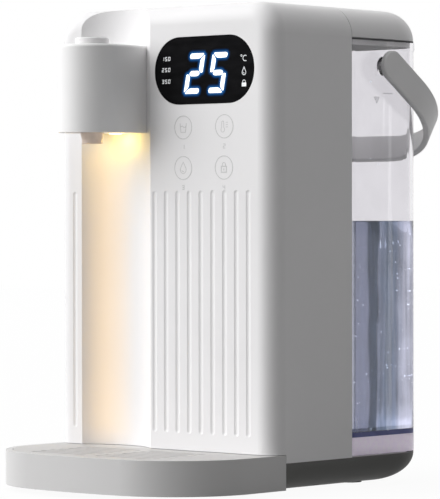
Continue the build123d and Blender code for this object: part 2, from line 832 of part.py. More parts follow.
# Push button on top of the head, with its guide, spring and switch
with BuildPart() as button_cap:
    cylinder_between(bay_x, head_y, flange_top_z, head_top + button_rise, button_diameter)
    fillet(button_cap.edges().group_by(Axis.Z)[-1], button_edge)
    cylinder_between(bay_x, head_y, flange_top_z - button_flange_height, flange_top_z, button_flange)
    cylinder_between(bay_x, head_y, stem_end_z, flange_top_z, button_stem)
save(button_cap, "button_cap")

with BuildPart() as button_guide:
    extrude(head_plan(guide_height, head_wall + seat_gap), amount=guide_thickness)
    cylinder_between(
        bay_x, bay_axis_y, guide_height, head_top, 2 * (bay_radius - fit_gap), Mode.INTERSECT
    )
    for side in (-1, 1):
        leg_x = bay_x + side * guide_leg_offset
        block(
            (leg_x - guide_leg / 2, leg_x + guide_leg / 2),
            (head_y - switch_board / 2, head_y + switch_board / 2),
            (guide_height - guide_leg_drop, guide_height),
        )
    cylinder_between(
        bay_x, head_y, guide_height, guide_height + guide_thickness,
        button_stem + 2 * stem_clearance, Mode.SUBTRACT,
    )
save(button_guide, "button_guide")

with BuildPart() as button_switch:
    block(
        (bay_x - guide_leg_offset - guide_leg / 2, bay_x + guide_leg_offset + guide_leg / 2),
        (head_y - switch_board / 2, head_y + switch_board / 2),
        (switch_z - board_thickness, switch_z),
    )
    block(
        (bay_x - switch_body / 2, bay_x + switch_body / 2),
        (head_y - switch_body / 2, head_y + switch_body / 2),
        (switch_z, switch_z + switch_body_height),
    )
    cylinder_between(bay_x, head_y, switch_z, stem_end_z - button_travel - fit_gap, switch_stud)
save(button_switch, "button_switch")

with BuildPart() as button_spring:
    coil_spring(
        (bay_x, head_y), guide_height + guide_thickness, flange_top_z - button_flange_height,
        button_spring_radius, button_spring_turns, spring_wire,
    )
save(button_spring, "button_spring")

# Drip tray and its slotted plate
with BuildPart() as drip_tray:
    extrude(tray_plan(tray_lift, 0, 0), amount=tray_height - tray_lift)
    extrude(
        tray_plan(tray_lift + tray_floor, tray_wall + plate_ledge, tray_tuck + plate_back + plate_ledge),
        amount=tray_height,
        mode=Mode.SUBTRACT,
    )
    extrude(
        tray_plan(tray_height - plate_thickness, tray_wall, tray_tuck + plate_back),
        amount=tray_height,
        mode=Mode.SUBTRACT,
    )
    for side in (-1, 1):
        block(
            (side * tongue_x - tongue_width / 2, side * tongue_x + tongue_width / 2),
            (face_y + tray_tuck - wall, tongue_end_y),
            (tongue_height, tongue_height + tongue_thickness),
        )
    for x, y in tray_foot_places:
        cylinder_between(x, y, tray_lift, tray_lift + tray_lift / 2, foot_peg_hole, Mode.SUBTRACT)
save(drip_tray, "drip_tray")

with BuildPart() as tray_feet:
    for x, y in tray_foot_places:
        cylinder_between(x, y, 0, tray_lift, tray_foot_diameter)
        cylinder_between(x, y, tray_lift, tray_lift + tray_lift / 2, foot_peg_diameter)
save(tray_feet, "tray_feet")

with BuildPart() as drip_plate:
    extrude(
        tray_plan(tray_height - plate_thickness, tray_wall + fit_gap, tray_tuck + plate_back + fit_gap),
        amount=plate_thickness,
    )
    with BuildSketch(Plane.XY.offset(tray_height - plate_thickness)):
        with Locations((0, plate_middle_y)):
            with GridLocations(plate_slot_length + plate_slot_pitch, plate_slot_pitch, 2, plate_slot_rows):
                SlotOverall(plate_slot_length, plate_slot_width)
    extrude(amount=plate_thickness, mode=Mode.SUBTRACT)
save(drip_plate, "drip_plate")

# Tank: a clear wall on a gasket and a skirt
with BuildPart() as tank_skirt:
    extrude(tank_plan(skirt_z, 0), amount=skirt_height)
    extrude(tank_plan(skirt_z, wall), amount=skirt_height, mode=Mode.SUBTRACT)
save(tank_skirt, "tank_skirt")

with BuildPart() as tank_gasket:
    extrude(tank_plan(skirt_z + skirt_height, seat_gap), amount=gasket_height)
    extrude(tank_plan(skirt_z + skirt_height, wall + seat_gap), amount=gasket_height, mode=Mode.SUBTRACT)
save(tank_gasket, "tank_gasket")

with BuildPart() as tank_wall:
    extrude(tank_plan(tank_z, 0), amount=rim_z - tank_z)
    extrude(tank_plan(rim_z - rim_height, -rim_overhang), amount=rim_height)
    for side in (-1, 1):
        bar_along_x(
            pivot_y, handle_pivot_height,
            min(side * tank_half, side * boss_end_x), max(side * tank_half, side * boss_end_x), pivot_boss,
        )
    extrude(tank_plan(tank_z + tank_floor, tank_wall_thickness), amount=rim_z, mode=Mode.SUBTRACT)
    for side in (-1, 1):
        bar_along_x(
            pivot_y, handle_pivot_height,
            min(side * tank_half, side * boss_end_x), max(side * tank_half, side * boss_end_x),
            pivot_pin, Mode.SUBTRACT,
        )
    cylinder_between(valve_x, valve_y, tank_z, tank_z + tank_floor, valve_neck + 2 * seat_gap, Mode.SUBTRACT)
save(tank_wall, "tank_wall")

# Lid: a crowned cover over an inner plate with a plug
with BuildPart() as tank_lid:
    lid_rim = rim_section(lid_front_y, crown_z, crown_side, crown_height, lid_wall, 1)
    sweep(lid_rim, path=rear_path(lid_front_y))
    extrude(rear_plan(body_height - lid_wall, lid_front_y, crown_side), amount=lid_wall)
    extrude(capped_front(lid_front_y, crown_z, crown_side, crown_height, 1), amount=-lid_wall)
save(tank_lid, "tank_lid")

with BuildPart() as lid_base:
    extrude(rear_plan(crown_z, lid_front_y + lid_wall + seat_gap, lid_wall + lid_edge_gap), amount=lid_wall)
    extrude(tank_plan(crown_z - lid_plug_depth, tank_wall_thickness + slide_gap), amount=lid_plug_depth)
    extrude(
        tank_plan(crown_z - lid_plug_depth, tank_wall_thickness + slide_gap + lid_plug_wall),
        amount=lid_plug_depth,
        mode=Mode.SUBTRACT,
    )
save(lid_base, "lid_base")

with BuildPart() as lid_seal:
    extrude(tank_plan(crown_z - lid_seal_height, 0), amount=lid_seal_height)
    extrude(
        tank_plan(crown_z - lid_seal_height, tank_wall_thickness + seat_gap),
        amount=lid_seal_height,
        mode=Mode.SUBTRACT,
    )
save(lid_seal, "lid_seal")

# Carrying handle, a flat strap bent to a U, hung low behind the tank
bail_plane = Plane(
    origin=(0, pivot_y, handle_pivot_height),
    x_dir=(1, 0, 0),
    z_dir=(0, math.sin(tilt), math.cos(tilt)),
)
with BuildPart() as tank_handle:
    with BuildSketch(bail_plane):
        with BuildLine():
            FilletPolyline(
                (strap_outer_x, -strap_width / 2),
                (strap_outer_x, handle_reach + strap_thickness / 2),
                (-strap_outer_x, handle_reach + strap_thickness / 2),
                (-strap_outer_x, -strap_width / 2),
                radius=handle_bend + strap_thickness / 2,
            )
            Line((-strap_outer_x, -strap_width / 2), (-strap_inner_x, -strap_width / 2))
            FilletPolyline(
                (-strap_inner_x, -strap_width / 2),
                (-strap_inner_x, handle_reach - strap_thickness / 2),
                (strap_inner_x, handle_reach - strap_thickness / 2),
                (strap_inner_x, -strap_width / 2),
                radius=handle_bend - strap_thickness / 2,
            )
            Line((strap_inner_x, -strap_width / 2), (strap_outer_x, -strap_width / 2))
        make_face()
    extrude(amount=strap_width / 2, both=True)
    end_edges = tank_handle.edges().filter_by(Axis.X).filter_by(lambda e: e.length < 2 * strap_thickness)
    fillet(end_edges, strap_width / 2 - seat_gap)
    side_faces = tank_handle.faces().filter_by(Axis((0, 0, 0), bail_plane.z_dir))
    fillet(side_faces.edges(), strap_edge)
    bar_along_x(
        pivot_y, handle_pivot_height, -pin_end_x - fit_gap, pin_end_x + fit_gap,
        pivot_pin + 2 * pivot_clearance, Mode.SUBTRACT,
    )
save(tank_handle, "tank_handle")

with BuildPart() as handle_pins:
    for side in (-1, 1):
        shank = sorted((side * tank_half, side * pin_end_x))
        bar_along_x(pivot_y, handle_pivot_height, shank[0], shank[1], pivot_pin)
save(handle_pins, "handle_pins")

# Tank valve, held open by the pin in its socket while the tank is docked
with BuildPart() as valve_body:
    cylinder_between(valve_x, valve_y, neck_z, tank_z + tank_floor, valve_neck)
    cylinder_between(valve_x, valve_y, tank_z + tank_floor, dome_z, valve_flange)
    cylinder_between(valve_x, valve_y, dome_z, dome_z + valve_dome_height, valve_dome)
    fillet(valve_body.edges().group_by(Axis.Z)[-1], valve_dome / 4)
    cylinder_between(valve_x, valve_y, valve_seat_z, spring_seat_z, valve_bore, Mode.SUBTRACT)
    cylinder_between(valve_x, valve_y, neck_z, valve_seat_z, valve_stem + 2 * slide_gap, Mode.SUBTRACT)
    for turn in (0, 1):
        run = (valve_flange, valve_stem) if turn else (valve_stem, valve_flange)
        block(
            (valve_x - run[0] / 2, valve_x + run[0] / 2),
            (valve_y - run[1] / 2, valve_y + run[1] / 2),
            (dome_z, dome_z + valve_dome_height / 3),
            Mode.SUBTRACT,
        )
save(valve_body, "valve_body")

with BuildPart() as valve_nut:
    with BuildSketch(Plane.XY.offset(tank_z - valve_nut_height)):
        with Locations((valve_x, valve_y)):
            RegularPolygon(valve_nut_diameter / 2, 6)
            Circle(valve_neck / 2 + seat_gap, mode=Mode.SUBTRACT)
    extrude(amount=valve_nut_height)
save(valve_nut, "valve_nut")

with BuildPart() as valve_plunger:
    cylinder_between(valve_x, valve_y, valve_disc_z, valve_disc_z + valve_disc_height, valve_disc)
    cylinder_between(valve_x, valve_y, valve_tip_z, valve_disc_z, valve_stem)
save(valve_plunger, "valve_plunger")

with BuildPart() as valve_spring:
    coil_spring(
        (valve_x, valve_y), valve_disc_z + valve_disc_height, spring_seat_z,
        valve_spring_radius, valve_spring_turns, valve_wire,
    )
save(valve_spring, "valve_spring")

# Socket in the deck that takes the valve's neck
with BuildPart() as dock_socket:
    cylinder_between(valve_x, valve_y, socket_z, seam_height, socket_diameter)
    cylinder_between(valve_x, valve_y, seam_height, seam_height + socket_flange_height, socket_flange)
    cylinder_between(
        valve_x, valve_y, socket_z + socket_floor, socket_top,
        valve_neck + 2 * socket_clearance, Mode.SUBTRACT,
    )
    cylinder_between(
        valve_x, valve_y, socket_top - seal_height, socket_top, seal_outer + 2 * seat_gap, Mode.SUBTRACT
    )
    barb_root_y = valve_y - socket_diameter / 2 + slide_gap
    bar_along_y(valve_x, inlet_hose_z, dock_barb_y, barb_root_y, barb_diameter)
    bar_along_y(valve_x, inlet_hose_z, dock_barb_y, valve_y, barb_bore, Mode.SUBTRACT)
    cylinder_between(valve_x, valve_y, socket_z, valve_tip_z - fit_gap, shaft_diameter)
save(dock_socket, "dock_socket")

with BuildPart() as dock_seal:
    cylinder_between(valve_x, valve_y, socket_top - seal_height, socket_top, seal_outer)
    cylinder_between(
        valve_x, valve_y, socket_top - seal_height, socket_top, valve_neck + 2 * fit_gap, Mode.SUBTRACT
    )
save(dock_seal, "dock_seal")

# Pump on the floor of the pan
with BuildPart() as pump_mount:
    cylinder_between(pump_x, pump_y, pan_floor_z, pump_z, pump_diameter)
    cylinder_between(pump_x, pump_y, pan_floor_z, pump_z, pump_diameter - 2 * pump_mount_width, Mode.SUBTRACT)
save(pump_mount, "pump_mount")

with BuildPart() as pump_cover:
    cylinder_between(pump_x, pump_y, pump_z, chamber_z, pump_diameter - 2 * fit_gap - 2 * slide_gap)
save(pump_cover, "pump_cover")

with BuildPart() as pump_body:
    cylinder_between(pump_x, pump_y, chamber_z, pump_top, pump_diameter)
    bar_along_y(pump_x, inlet_hose_z, pump_y + pump_diameter / 2 - slide_gap, pump_barb_y, barb_diameter)
    bar_along_x(pump_y, outlet_hose_z, pump_barb_x, pump_x - pump_diameter / 2 + slide_gap, barb_diameter)
    cylinder_between(pump_x, pump_y, chamber_z, chamber_z + chamber_height, chamber_diameter, Mode.SUBTRACT)
    bar_along_y(pump_x, inlet_hose_z, pump_y, pump_barb_y, barb_bore, Mode.SUBTRACT)
    bar_along_x(pump_y, outlet_hose_z, pump_barb_x, pump_x, barb_bore, Mode.SUBTRACT)
    cylinder_between(
        pump_x, pump_y, chamber_z, pump_top, shaft_diameter + 2 * shaft_clearance, Mode.SUBTRACT
    )
save(pump_body, "pump_body")

with BuildPart() as impeller:
    cylinder_between(pump_x, pump_y, impeller_z, impeller_z + impeller_plate, impeller_diameter)
    with BuildSketch(Plane.XY.offset(impeller_z)):
        with Locations((pump_x, pump_y)):
            with PolarLocations(impeller_diameter / 4, impeller_blades):
                Rectangle(impeller_diameter / 2 - shaft_diameter / 2, impeller_plate)
    extrude(amount=impeller_height)
    cylinder_between(pump_x, pump_y, impeller_z, shaft_top, shaft_diameter)
save(impeller, "impeller")

with BuildPart() as pump_motor:
    cylinder_between(pump_x, pump_y, pump_top, pump_top + motor_boss_height, motor_step)
    cylinder_between(pump_x, pump_y, pump_top + motor_boss_height, motor_top, motor_diameter)
    fillet(pump_motor.edges().group_by(Axis.Z)[-1], motor_boss_height / 2)
    cylinder_between(
        pump_x, pump_y, pump_top, shaft_top + slide_gap, shaft_diameter + 2 * shaft_clearance, Mode.SUBTRACT
    )
save(pump_motor, "pump_motor")

# Heater tube between two caps, clamped to the back plate
with BuildPart() as heater_tube:
    cylinder_between(bay_x, heater_y, heater_bottom + cap_floor, heater_top - cap_floor, heater_tube_diameter)
    cylinder_between(
        bay_x, heater_y, heater_bottom + cap_floor, heater_top - cap_floor,
        heater_tube_diameter - 2 * heater_tube_wall, Mode.SUBTRACT,
    )
save(heater_tube, "heater_tube")

with BuildPart() as heater_cap_lower:
    cylinder_between(bay_x, heater_y, heater_bottom, heater_bottom + heater_cap_height, heater_cap_diameter)
    cylinder_between(bay_x, heater_y, heater_bottom - barb_length, heater_bottom, barb_diameter)
    cylinder_between(
        bay_x, heater_y, heater_bottom + cap_floor, heater_bottom + heater_cap_height,
        heater_tube_diameter + 2 * seat_gap, Mode.SUBTRACT,
    )
    cylinder_between(
        bay_x, heater_y, heater_bottom - barb_length, heater_bottom + cap_floor, barb_bore, Mode.SUBTRACT
    )
save(heater_cap_lower, "heater_cap_lower")

with BuildPart() as heater_cap_upper:
    cylinder_between(bay_x, heater_y, heater_top - heater_cap_height, heater_top, heater_cap_diameter)
    cylinder_between(bay_x, heater_y, heater_top, heater_top + barb_length, barb_diameter)
    cylinder_between(
        bay_x, heater_y, heater_top - heater_cap_height, heater_top - cap_floor,
        heater_tube_diameter + 2 * seat_gap, Mode.SUBTRACT,
    )
    cylinder_between(
        bay_x, heater_y, heater_top - cap_floor, heater_top + barb_length, barb_bore, Mode.SUBTRACT
    )
    bar_along_x(heater_y, probe_z, probe_x, bay_x + heater_cap_diameter, probe_hole, Mode.SUBTRACT)
save(heater_cap_upper, "heater_cap_upper")

with BuildPart() as heater_brackets:
    for z in (heater_bottom + bracket_inset, heater_top - bracket_inset):
        block(
            (bay_x - bracket_width / 2, bay_x + bracket_width / 2),
            (heater_y, plate_y),
            (z - bracket_height / 2, z + bracket_height / 2),
        )
    cylinder_between(
        bay_x, heater_y, heater_bottom, heater_top, heater_tube_diameter + 2 * seat_gap, Mode.SUBTRACT
    )
save(heater_brackets, "heater_brackets")

with BuildPart() as thermal_cutout:
    bar_along_x(heater_y, heater_middle_z, cutout_x, cutout_x + cutout_height, cutout_diameter)
save(thermal_cutout, "thermal_cutout")

with BuildPart() as temperature_probe:
    bar_along_x(heater_y, probe_z, probe_x, probe_x + probe_length, probe_diameter)
save(temperature_probe, "temperature_probe")

# Hoses: tank to pump, pump to heater, heater to spout
with BuildPart() as inlet_hose:
    bar_along_y(valve_x, inlet_hose_z, inlet_hose_near_y, inlet_hose_far_y, hose_outer)
    bar_along_y(valve_x, inlet_hose_z, inlet_hose_near_y, inlet_hose_far_y, hose_inner, Mode.SUBTRACT)
save(inlet_hose, "inlet_hose")

with BuildPart() as feed_hose:
    with BuildLine():
        FilletPolyline(
            (feed_start_x, pump_y, outlet_hose_z),
            (bay_x, pump_y, outlet_hose_z),
            (bay_x, pump_y, feed_end_z),
            radius=hose_bend,
        )
    with BuildSketch(Plane.YZ.offset(feed_start_x)):
        with Locations((pump_y, outlet_hose_z)):
            Circle(hose_outer / 2)
            Circle(hose_inner / 2, mode=Mode.SUBTRACT)
    sweep()
save(feed_hose, "feed_hose")

with BuildPart() as spout_hose:
    with BuildLine():
        FilletPolyline(
            (bay_x, heater_y, spout_hose_z),
            (bay_x, heater_y, barb_height),
            (bay_x, spout_hose_y, barb_height),
            radius=hose_bend,
        )
    with BuildSketch(Plane.XY.offset(spout_hose_z)):
        with Locations((bay_x, heater_y)):
            Circle(hose_outer / 2)
            Circle(hose_inner / 2, mode=Mode.SUBTRACT)
    sweep()
save(spout_hose, "spout_hose")

# Spring clips on the hose ends
with BuildPart() as hose_clips:
    for size, mode in ((clip_outer, Mode.ADD), (clip_inner, Mode.SUBTRACT)):
        for near in (inlet_hose_near_y + slide_gap, inlet_hose_far_y - slide_gap - clip_width):
            bar_along_y(valve_x, inlet_hose_z, near, near + clip_width, size, mode)
        feed_clip_x = feed_start_x - slide_gap
        feed_clip_z = feed_end_z - slide_gap
        spout_clip_z = spout_hose_z + slide_gap
        spout_clip_y = spout_hose_y + slide_gap
        bar_along_x(pump_y, outlet_hose_z, feed_clip_x - clip_width, feed_clip_x, size, mode)
        cylinder_between(bay_x, pump_y, feed_clip_z - clip_width, feed_clip_z, size, mode)
        cylinder_between(bay_x, heater_y, spout_clip_z, spout_clip_z + clip_width, size, mode)
        bar_along_y(bay_x, barb_height, spout_clip_y, spout_clip_y + clip_width, size, mode)
save(hose_clips, "hose_clips")

# Power board on the right wall and the mains inlet on the left wall
part_x = power_x - board_thickness
transformer_z = power_board_z - part_rise
relay_z = power_board_z + part_rise
with BuildPart() as power_board:
    block(
        (part_x, power_x),
        (power_y - power_board_depth / 2, power_y + power_board_depth / 2),
        (power_board_z - power_board_height / 2, power_board_z + power_board_height / 2),
    )
    for y, z in power_boss_places:
        bar_along_x(y, z, part_x, power_x, small_screw, Mode.SUBTRACT)
save(power_board, "power_board")

with BuildPart() as transformer:
    block(
        (part_x - transformer_size[0], part_x),
        (power_y - transformer_size[1] / 2, power_y + transformer_size[1] / 2),
        (transformer_z - transformer_size[2] / 2, transformer_z + transformer_size[2] / 2),
    )
save(transformer, "transformer")

with BuildPart() as relay:
    block(
        (part_x - relay_size[0], part_x),
        (power_y - relay_size[1] / 2, power_y + relay_size[1] / 2),
        (relay_z - relay_size[2] / 2, relay_z + relay_size[2] / 2),
    )
save(relay, "relay")

with BuildPart() as capacitor:
    bar_along_x(power_y, power_board_z, part_x - capacitor_length, part_x, capacitor_diameter)
    fillet(capacitor.edges().group_by(Axis.X)[0], wall / 3)
save(capacitor, "capacitor")

with BuildPart() as mains_inlet:
    block(
        (-half_width, inlet_body[0] - half_width),
        (inlet_y - inlet_body[1] / 2, inlet_y + inlet_body[1] / 2),
        (inlet_z - inlet_body[2] / 2, inlet_z + inlet_body[2] / 2),
    )
    block(
        (-half_width - inlet_flange_thickness, -half_width),
        (inlet_y - inlet_body[1] / 2 - inlet_flange, inlet_y + inlet_body[1] / 2 + inlet_flange),
        (inlet_z - inlet_body[2] / 2 - inlet_flange, inlet_z + inlet_body[2] / 2 + inlet_flange),
    )
    fillet(mains_inlet.faces().sort_by(Axis.X)[0].edges(), inlet_flange_thickness / 2)
    block(
        (-half_width - inlet_flange_thickness, inlet_floor_x),
        (inlet_y - inlet_body[1] / 2 + inlet_wall, inlet_y + inlet_body[1] / 2 - inlet_wall),
        (inlet_z - inlet_body[2] / 2 + inlet_wall, inlet_z + inlet_body[2] / 2 - inlet_wall),
        Mode.SUBTRACT,
    )
    for place in (-1, 0, 1):
        pin_y = inlet_y + place * inlet_pin_pitch
        block(
            (wall - half_width, inlet_floor_x),
            (pin_y - inlet_pin[0] / 2, pin_y + inlet_pin[0] / 2),
            (inlet_z + inlet_pin_z - inlet_pin[1] / 2, inlet_z + inlet_pin_z + inlet_pin[1] / 2),
        )
save(mains_inlet, "mains_inlet")
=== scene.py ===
# %% [markdown]
# # A countertop hot water dispenser
# The dispenser is a white moulded housing with a cup bay, a round spout, a black display window,
# a drip tray in front and a clear water tank with a carrying handle behind. The solids come from the
# CAD frame and keep their places. This lesson dresses them: plastics, clear tank, water, lit display,
# printed keys, screws and droplets, then light and camera.

# %% Load the frame
import json
import math

import bmesh
import bpy
from mathutils import Matrix, Vector


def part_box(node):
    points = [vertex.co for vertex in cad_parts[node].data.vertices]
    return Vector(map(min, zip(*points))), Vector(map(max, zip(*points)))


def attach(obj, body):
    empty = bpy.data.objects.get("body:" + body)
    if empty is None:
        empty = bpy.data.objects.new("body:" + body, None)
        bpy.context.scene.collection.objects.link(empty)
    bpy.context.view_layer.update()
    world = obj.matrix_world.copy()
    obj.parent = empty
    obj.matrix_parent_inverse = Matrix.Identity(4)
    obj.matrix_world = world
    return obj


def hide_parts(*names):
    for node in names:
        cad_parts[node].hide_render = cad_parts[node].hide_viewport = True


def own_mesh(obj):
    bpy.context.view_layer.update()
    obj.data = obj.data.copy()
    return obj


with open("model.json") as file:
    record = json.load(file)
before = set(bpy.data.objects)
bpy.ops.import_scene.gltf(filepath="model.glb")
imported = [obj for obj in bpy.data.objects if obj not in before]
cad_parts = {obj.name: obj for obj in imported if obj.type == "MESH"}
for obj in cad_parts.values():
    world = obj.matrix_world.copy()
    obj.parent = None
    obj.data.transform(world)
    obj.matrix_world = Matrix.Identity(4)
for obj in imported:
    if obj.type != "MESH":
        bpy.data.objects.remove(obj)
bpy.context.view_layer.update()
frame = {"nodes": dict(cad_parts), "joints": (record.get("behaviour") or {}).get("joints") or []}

MM = 0.001
nodes = frame["nodes"]
scene = bpy.context.scene
scene.view_settings.view_transform = "Standard"

# %% [markdown]
# ## Reading places off the frame
# A printed icon or a digit has to lie on the plastic that carries it. The face of the housing, the
# display window and the tank are measured here once, in metres, so every later piece can sit on them.

# %% Places on the dispenser
face_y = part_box("front_housing")[0].y
lens_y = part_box("display_lens")[0].y
tank_low, tank_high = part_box("tank_skirt")
TANK_FLOOR_THICK = 2.5 * MM
tank_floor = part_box("tank_wall")[0].z + TANK_FLOOR_THICK
lamp_low, lamp_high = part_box("lamp_lens")
lamp_middle = (lamp_low + lamp_high) / 2
print("face at y", round(face_y, 5), "window at y", round(lens_y, 5), "tank floor at z", round(tank_floor, 5))

# %% [markdown]
# ## Wires: shader sums written as Python
# A finish is easier to read as a sum than as a web of nodes. The small class below wraps one socket.
# Adding, subtracting or multiplying wires adds the Math nodes, and node() adds any other node with its
# settings first and its sockets after. The same class serves shaders and geometry trees.

# %% The wire class
class Wire:
    """One socket of a node tree that can be used in Python sums."""

    def __init__(self, tree, socket):
        self.tree = tree
        self.socket = socket

    def node(self, kind, settings=None, sockets=None, out=0):
        made = self.tree.nodes.new(kind)
        for name, value in (settings or {}).items():
            if name == "stops":
                ramp = made.color_ramp.elements
                while len(ramp) < len(value):
                    ramp.new(0.5)
                for stop, (place, tint) in zip(ramp, value):
                    stop.position = place
                    stop.color = (*tint, 1.0)
            else:
                setattr(made, name, value)
        for name, value in (sockets or {}).items():
            for item in value if isinstance(value, list) else [value]:
                if isinstance(item, Wire):
                    self.tree.links.new(item.socket, made.inputs[name])
                else:
                    made.inputs[name].default_value = item
        return Wire(self.tree, made.outputs[out])

    def maths(self, operation, first, second):
        return self.node("ShaderNodeMath", {"operation": operation}, {0: first, 1: second})

    def __add__(self, other):
        return self.maths("ADD", self, other)

    def __radd__(self, other):
        return self.maths("ADD", other, self)

    def __sub__(self, other):
        return self.maths("SUBTRACT", self, other)

    def __rsub__(self, other):
        return self.maths("SUBTRACT", other, self)

    def __mul__(self, other):
        return self.maths("MULTIPLY", self, other)

    def __rmul__(self, other):
        return self.maths("MULTIPLY", other, self)


print("wires ready")

# %% [markdown]
# ## How a finish starts
# Every finish is one Principled shader. Numbers that are the same all over are set on the shader.
# Only colour, roughness and the bump vary over the surface, from noise on Object coordinates, which
# are metres here, so a noise scale of 1000 makes a cloud about one millimetre wide.

# %% Helpers for finishes
def start_finish(name, fixed):
    finish = bpy.data.materials.new(name)
    finish.use_nodes = True
    shader = finish.node_tree.nodes["Principled BSDF"]
    for socket, value in fixed.items():
        shader.inputs[socket].default_value = value
    place = finish.node_tree.nodes.new("ShaderNodeTexCoord").outputs["Object"]
    return finish, shader, Wire(finish.node_tree, place)


def feed(shader, socket, wire):
    wire.tree.links.new(wire.socket, shader.inputs[socket])


def cloud(place, size_mm, detail=2.0, stretch=(1, 1, 1)):
    """Soft noise whose spots are about size_mm wide, longer where stretch is under one."""
    moved = place.node("ShaderNodeMapping", None, {"Vector": place, "Scale": stretch})
    return place.node("ShaderNodeTexNoise", None,
                      {"Vector": moved, "Scale": 1000 / size_mm, "Detail": detail})


def tinted(wire, low, high, start=0.3, end=0.7):
    """A colour that goes from low to high as the wire goes from start to end."""
    return wire.node("ShaderNodeValToRGB", {"stops": [(start, low), (end, high)]}, {"Fac": wire})


def raise_grain(shader, height, depth_mm, strength=1.0):
    bump = height.node("ShaderNodeBump", None,
                       {"Height": height, "Distance": depth_mm * MM, "Strength": strength})
    feed(shader, "Normal", bump)


def shade(tint, factor):
    return tuple(min(1.0, part * factor) for part in tint)


def dress(finish, *names):
    for name in names:
        nodes[name].data.materials.clear()
        nodes[name].data.materials.append(finish)
    print(finish.name, "on", ", ".join(names))


print("helpers for finishes ready")

# %% [markdown]
# ## Moulded plastic
# The shell, tray, lid and handle are moulded plastic with a fine matt grain from the eroded mould.
# A bump with spots about a third of a millimetre wide gives the grain, a wider cloud moves the gloss a
# little, as handling does, and a very weak wide cloud keeps the white from being one flat number. The
# head, the tray, its slotted plate and the plug of the lid are the same white with light and shade
# painted into it: the head is lighter, a painted light, the tray and its plate are grey, painted shade,
# and the plug is grey for the painted shadow under the lid. The nozzle's warm tint is painted light from
# the lamp beside it. The base below them is charcoal.

# %% Moulded plastics
def moulded(name, tint, gloss, grain_mm=0.35, depth_mm=0.006, spread=0.03, sheen=0.45):
    finish, shader, place = start_finish(name, {"Specular IOR Level": sheen})
    wide = cloud(place, 60, 3.0)
    hands = cloud(place, 14, 4.0)
    feed(shader, "Base Color", tinted(wide, shade(tint, 1 - spread), tint))
    feed(shader, "Roughness", gloss - 0.05 + 0.10 * hands)
    raise_grain(shader, cloud(place, grain_mm, 1.0), depth_mm, 0.6)
    return finish


dress(moulded("shell_white", (0.80, 0.793, 0.80), 0.42),
      "front_housing", "tank_lid", "tank_handle", "handle_pins", "button_cap")
# painted light: the head's white is lighter than the shell's, to lift the shade on it
dress(moulded("head_white_painted_light", (0.87, 0.865, 0.865), 0.44), "spout_head", "spout_bottom")
# painted shade: the tray is the shell's white darkened to grey
dress(moulded("tray_white_painted_shade", (0.585, 0.58, 0.58), 0.48), "drip_tray")
# painted shade: the slotted plate is the white darkened to grey
dress(moulded("plate_grey_painted_shade", (0.51, 0.50, 0.495), 0.48), "drip_plate")
dress(moulded("inner_white", (0.74, 0.735, 0.72), 0.5, grain_mm=0.6, depth_mm=0.01),
      "back_plate", "button_guide", "display_module", "dock_deck")
# painted shadow: the plug is darkened for the shade under the lid
dress(moulded("plug_grey_painted_shadow", (0.50, 0.495, 0.49), 0.5, grain_mm=0.6, depth_mm=0.01), "lid_base")
dress(moulded("base_charcoal", (0.175, 0.175, 0.168), 0.6, grain_mm=0.5, depth_mm=0.012, spread=0.12,
              sheen=0.12), "base_pan", "dock_socket")
# painted light: the nozzle's warm tint is the lamp's light on it
dress(moulded("nozzle_white_painted_lamplight", (0.92, 0.76, 0.64), 0.33, grain_mm=0.25, depth_mm=0.004), "nozzle")
dress(moulded("valve_white", (0.83, 0.83, 0.82), 0.38, grain_mm=0.3, depth_mm=0.005),
      "valve_body", "valve_nut", "valve_plunger", "impeller")
dress(moulded("part_black", (0.03, 0.03, 0.032), 0.45, grain_mm=0.45, depth_mm=0.012, spread=0.2),
      "button_switch", "mains_inlet", "transformer", "capacitor", "pump_body", "pump_cover",
      "heater_cap_lower", "heater_cap_upper")
dress(moulded("relay_blue", (0.07, 0.17, 0.46), 0.32, grain_mm=0.4, depth_mm=0.006, spread=0.08), "relay")

# %% [markdown]
# ## Rubber and silicone
# Seals, feet and hoses are soft and dull. Rubber has a coarser grain and a dusty bloom that lifts its
# colour in patches. The hoses are milky silicone, so they let a little light through.

# %% Rubbers
def rubber(name, tint, gloss=0.75, through=0.0, bloom=1.35):
    finish, shader, place = start_finish(name, {"Specular IOR Level": 0.3, "Transmission Weight": through})
    patches = cloud(place, 9, 4.0)
    feed(shader, "Base Color", tinted(patches, tint, shade(tint, bloom)))
    feed(shader, "Roughness", gloss + 0.12 * (patches - 0.5))
    raise_grain(shader, cloud(place, 0.5, 2.0), 0.02, 0.7)
    return finish


dress(rubber("gasket_blue", (0.09, 0.10, 0.24), 0.5), "tank_gasket")
dress(rubber("seal_grey", (0.10, 0.10, 0.105)), "lid_seal", "dock_seal", "touch_pads", "pump_mount")
dress(rubber("foot_black", (0.022, 0.022, 0.023)), "base_feet", "tray_feet")
dress(rubber("hose_milky", (0.72, 0.72, 0.70), 0.42, through=0.15, bloom=1.08),
      "inlet_hose", "feed_hose", "spout_hose")

# %% [markdown]
# ## Metals
# The heater tube and brackets are drawn steel with marks along their length, the screws and springs
# are bright plated steel and the temperature probe is brass. A noise stretched along the length gives
# the drawn marks, and a fine cloud dulls the plating in places.

# %% Metals
def metal(name, tint, gloss, stretch):
    finish, shader, place = start_finish(name, {"Metallic": 1.0})
    drawn = cloud(place, 1.2, 3.0, stretch)
    dull = cloud(place, 6, 3.0)
    feed(shader, "Base Color", tinted(dull, shade(tint, 0.82), tint))
    feed(shader, "Roughness", gloss + 0.18 * (drawn - 0.5) + 0.12 * (dull - 0.5))
    raise_grain(shader, drawn, 0.01, 0.5)
    return finish


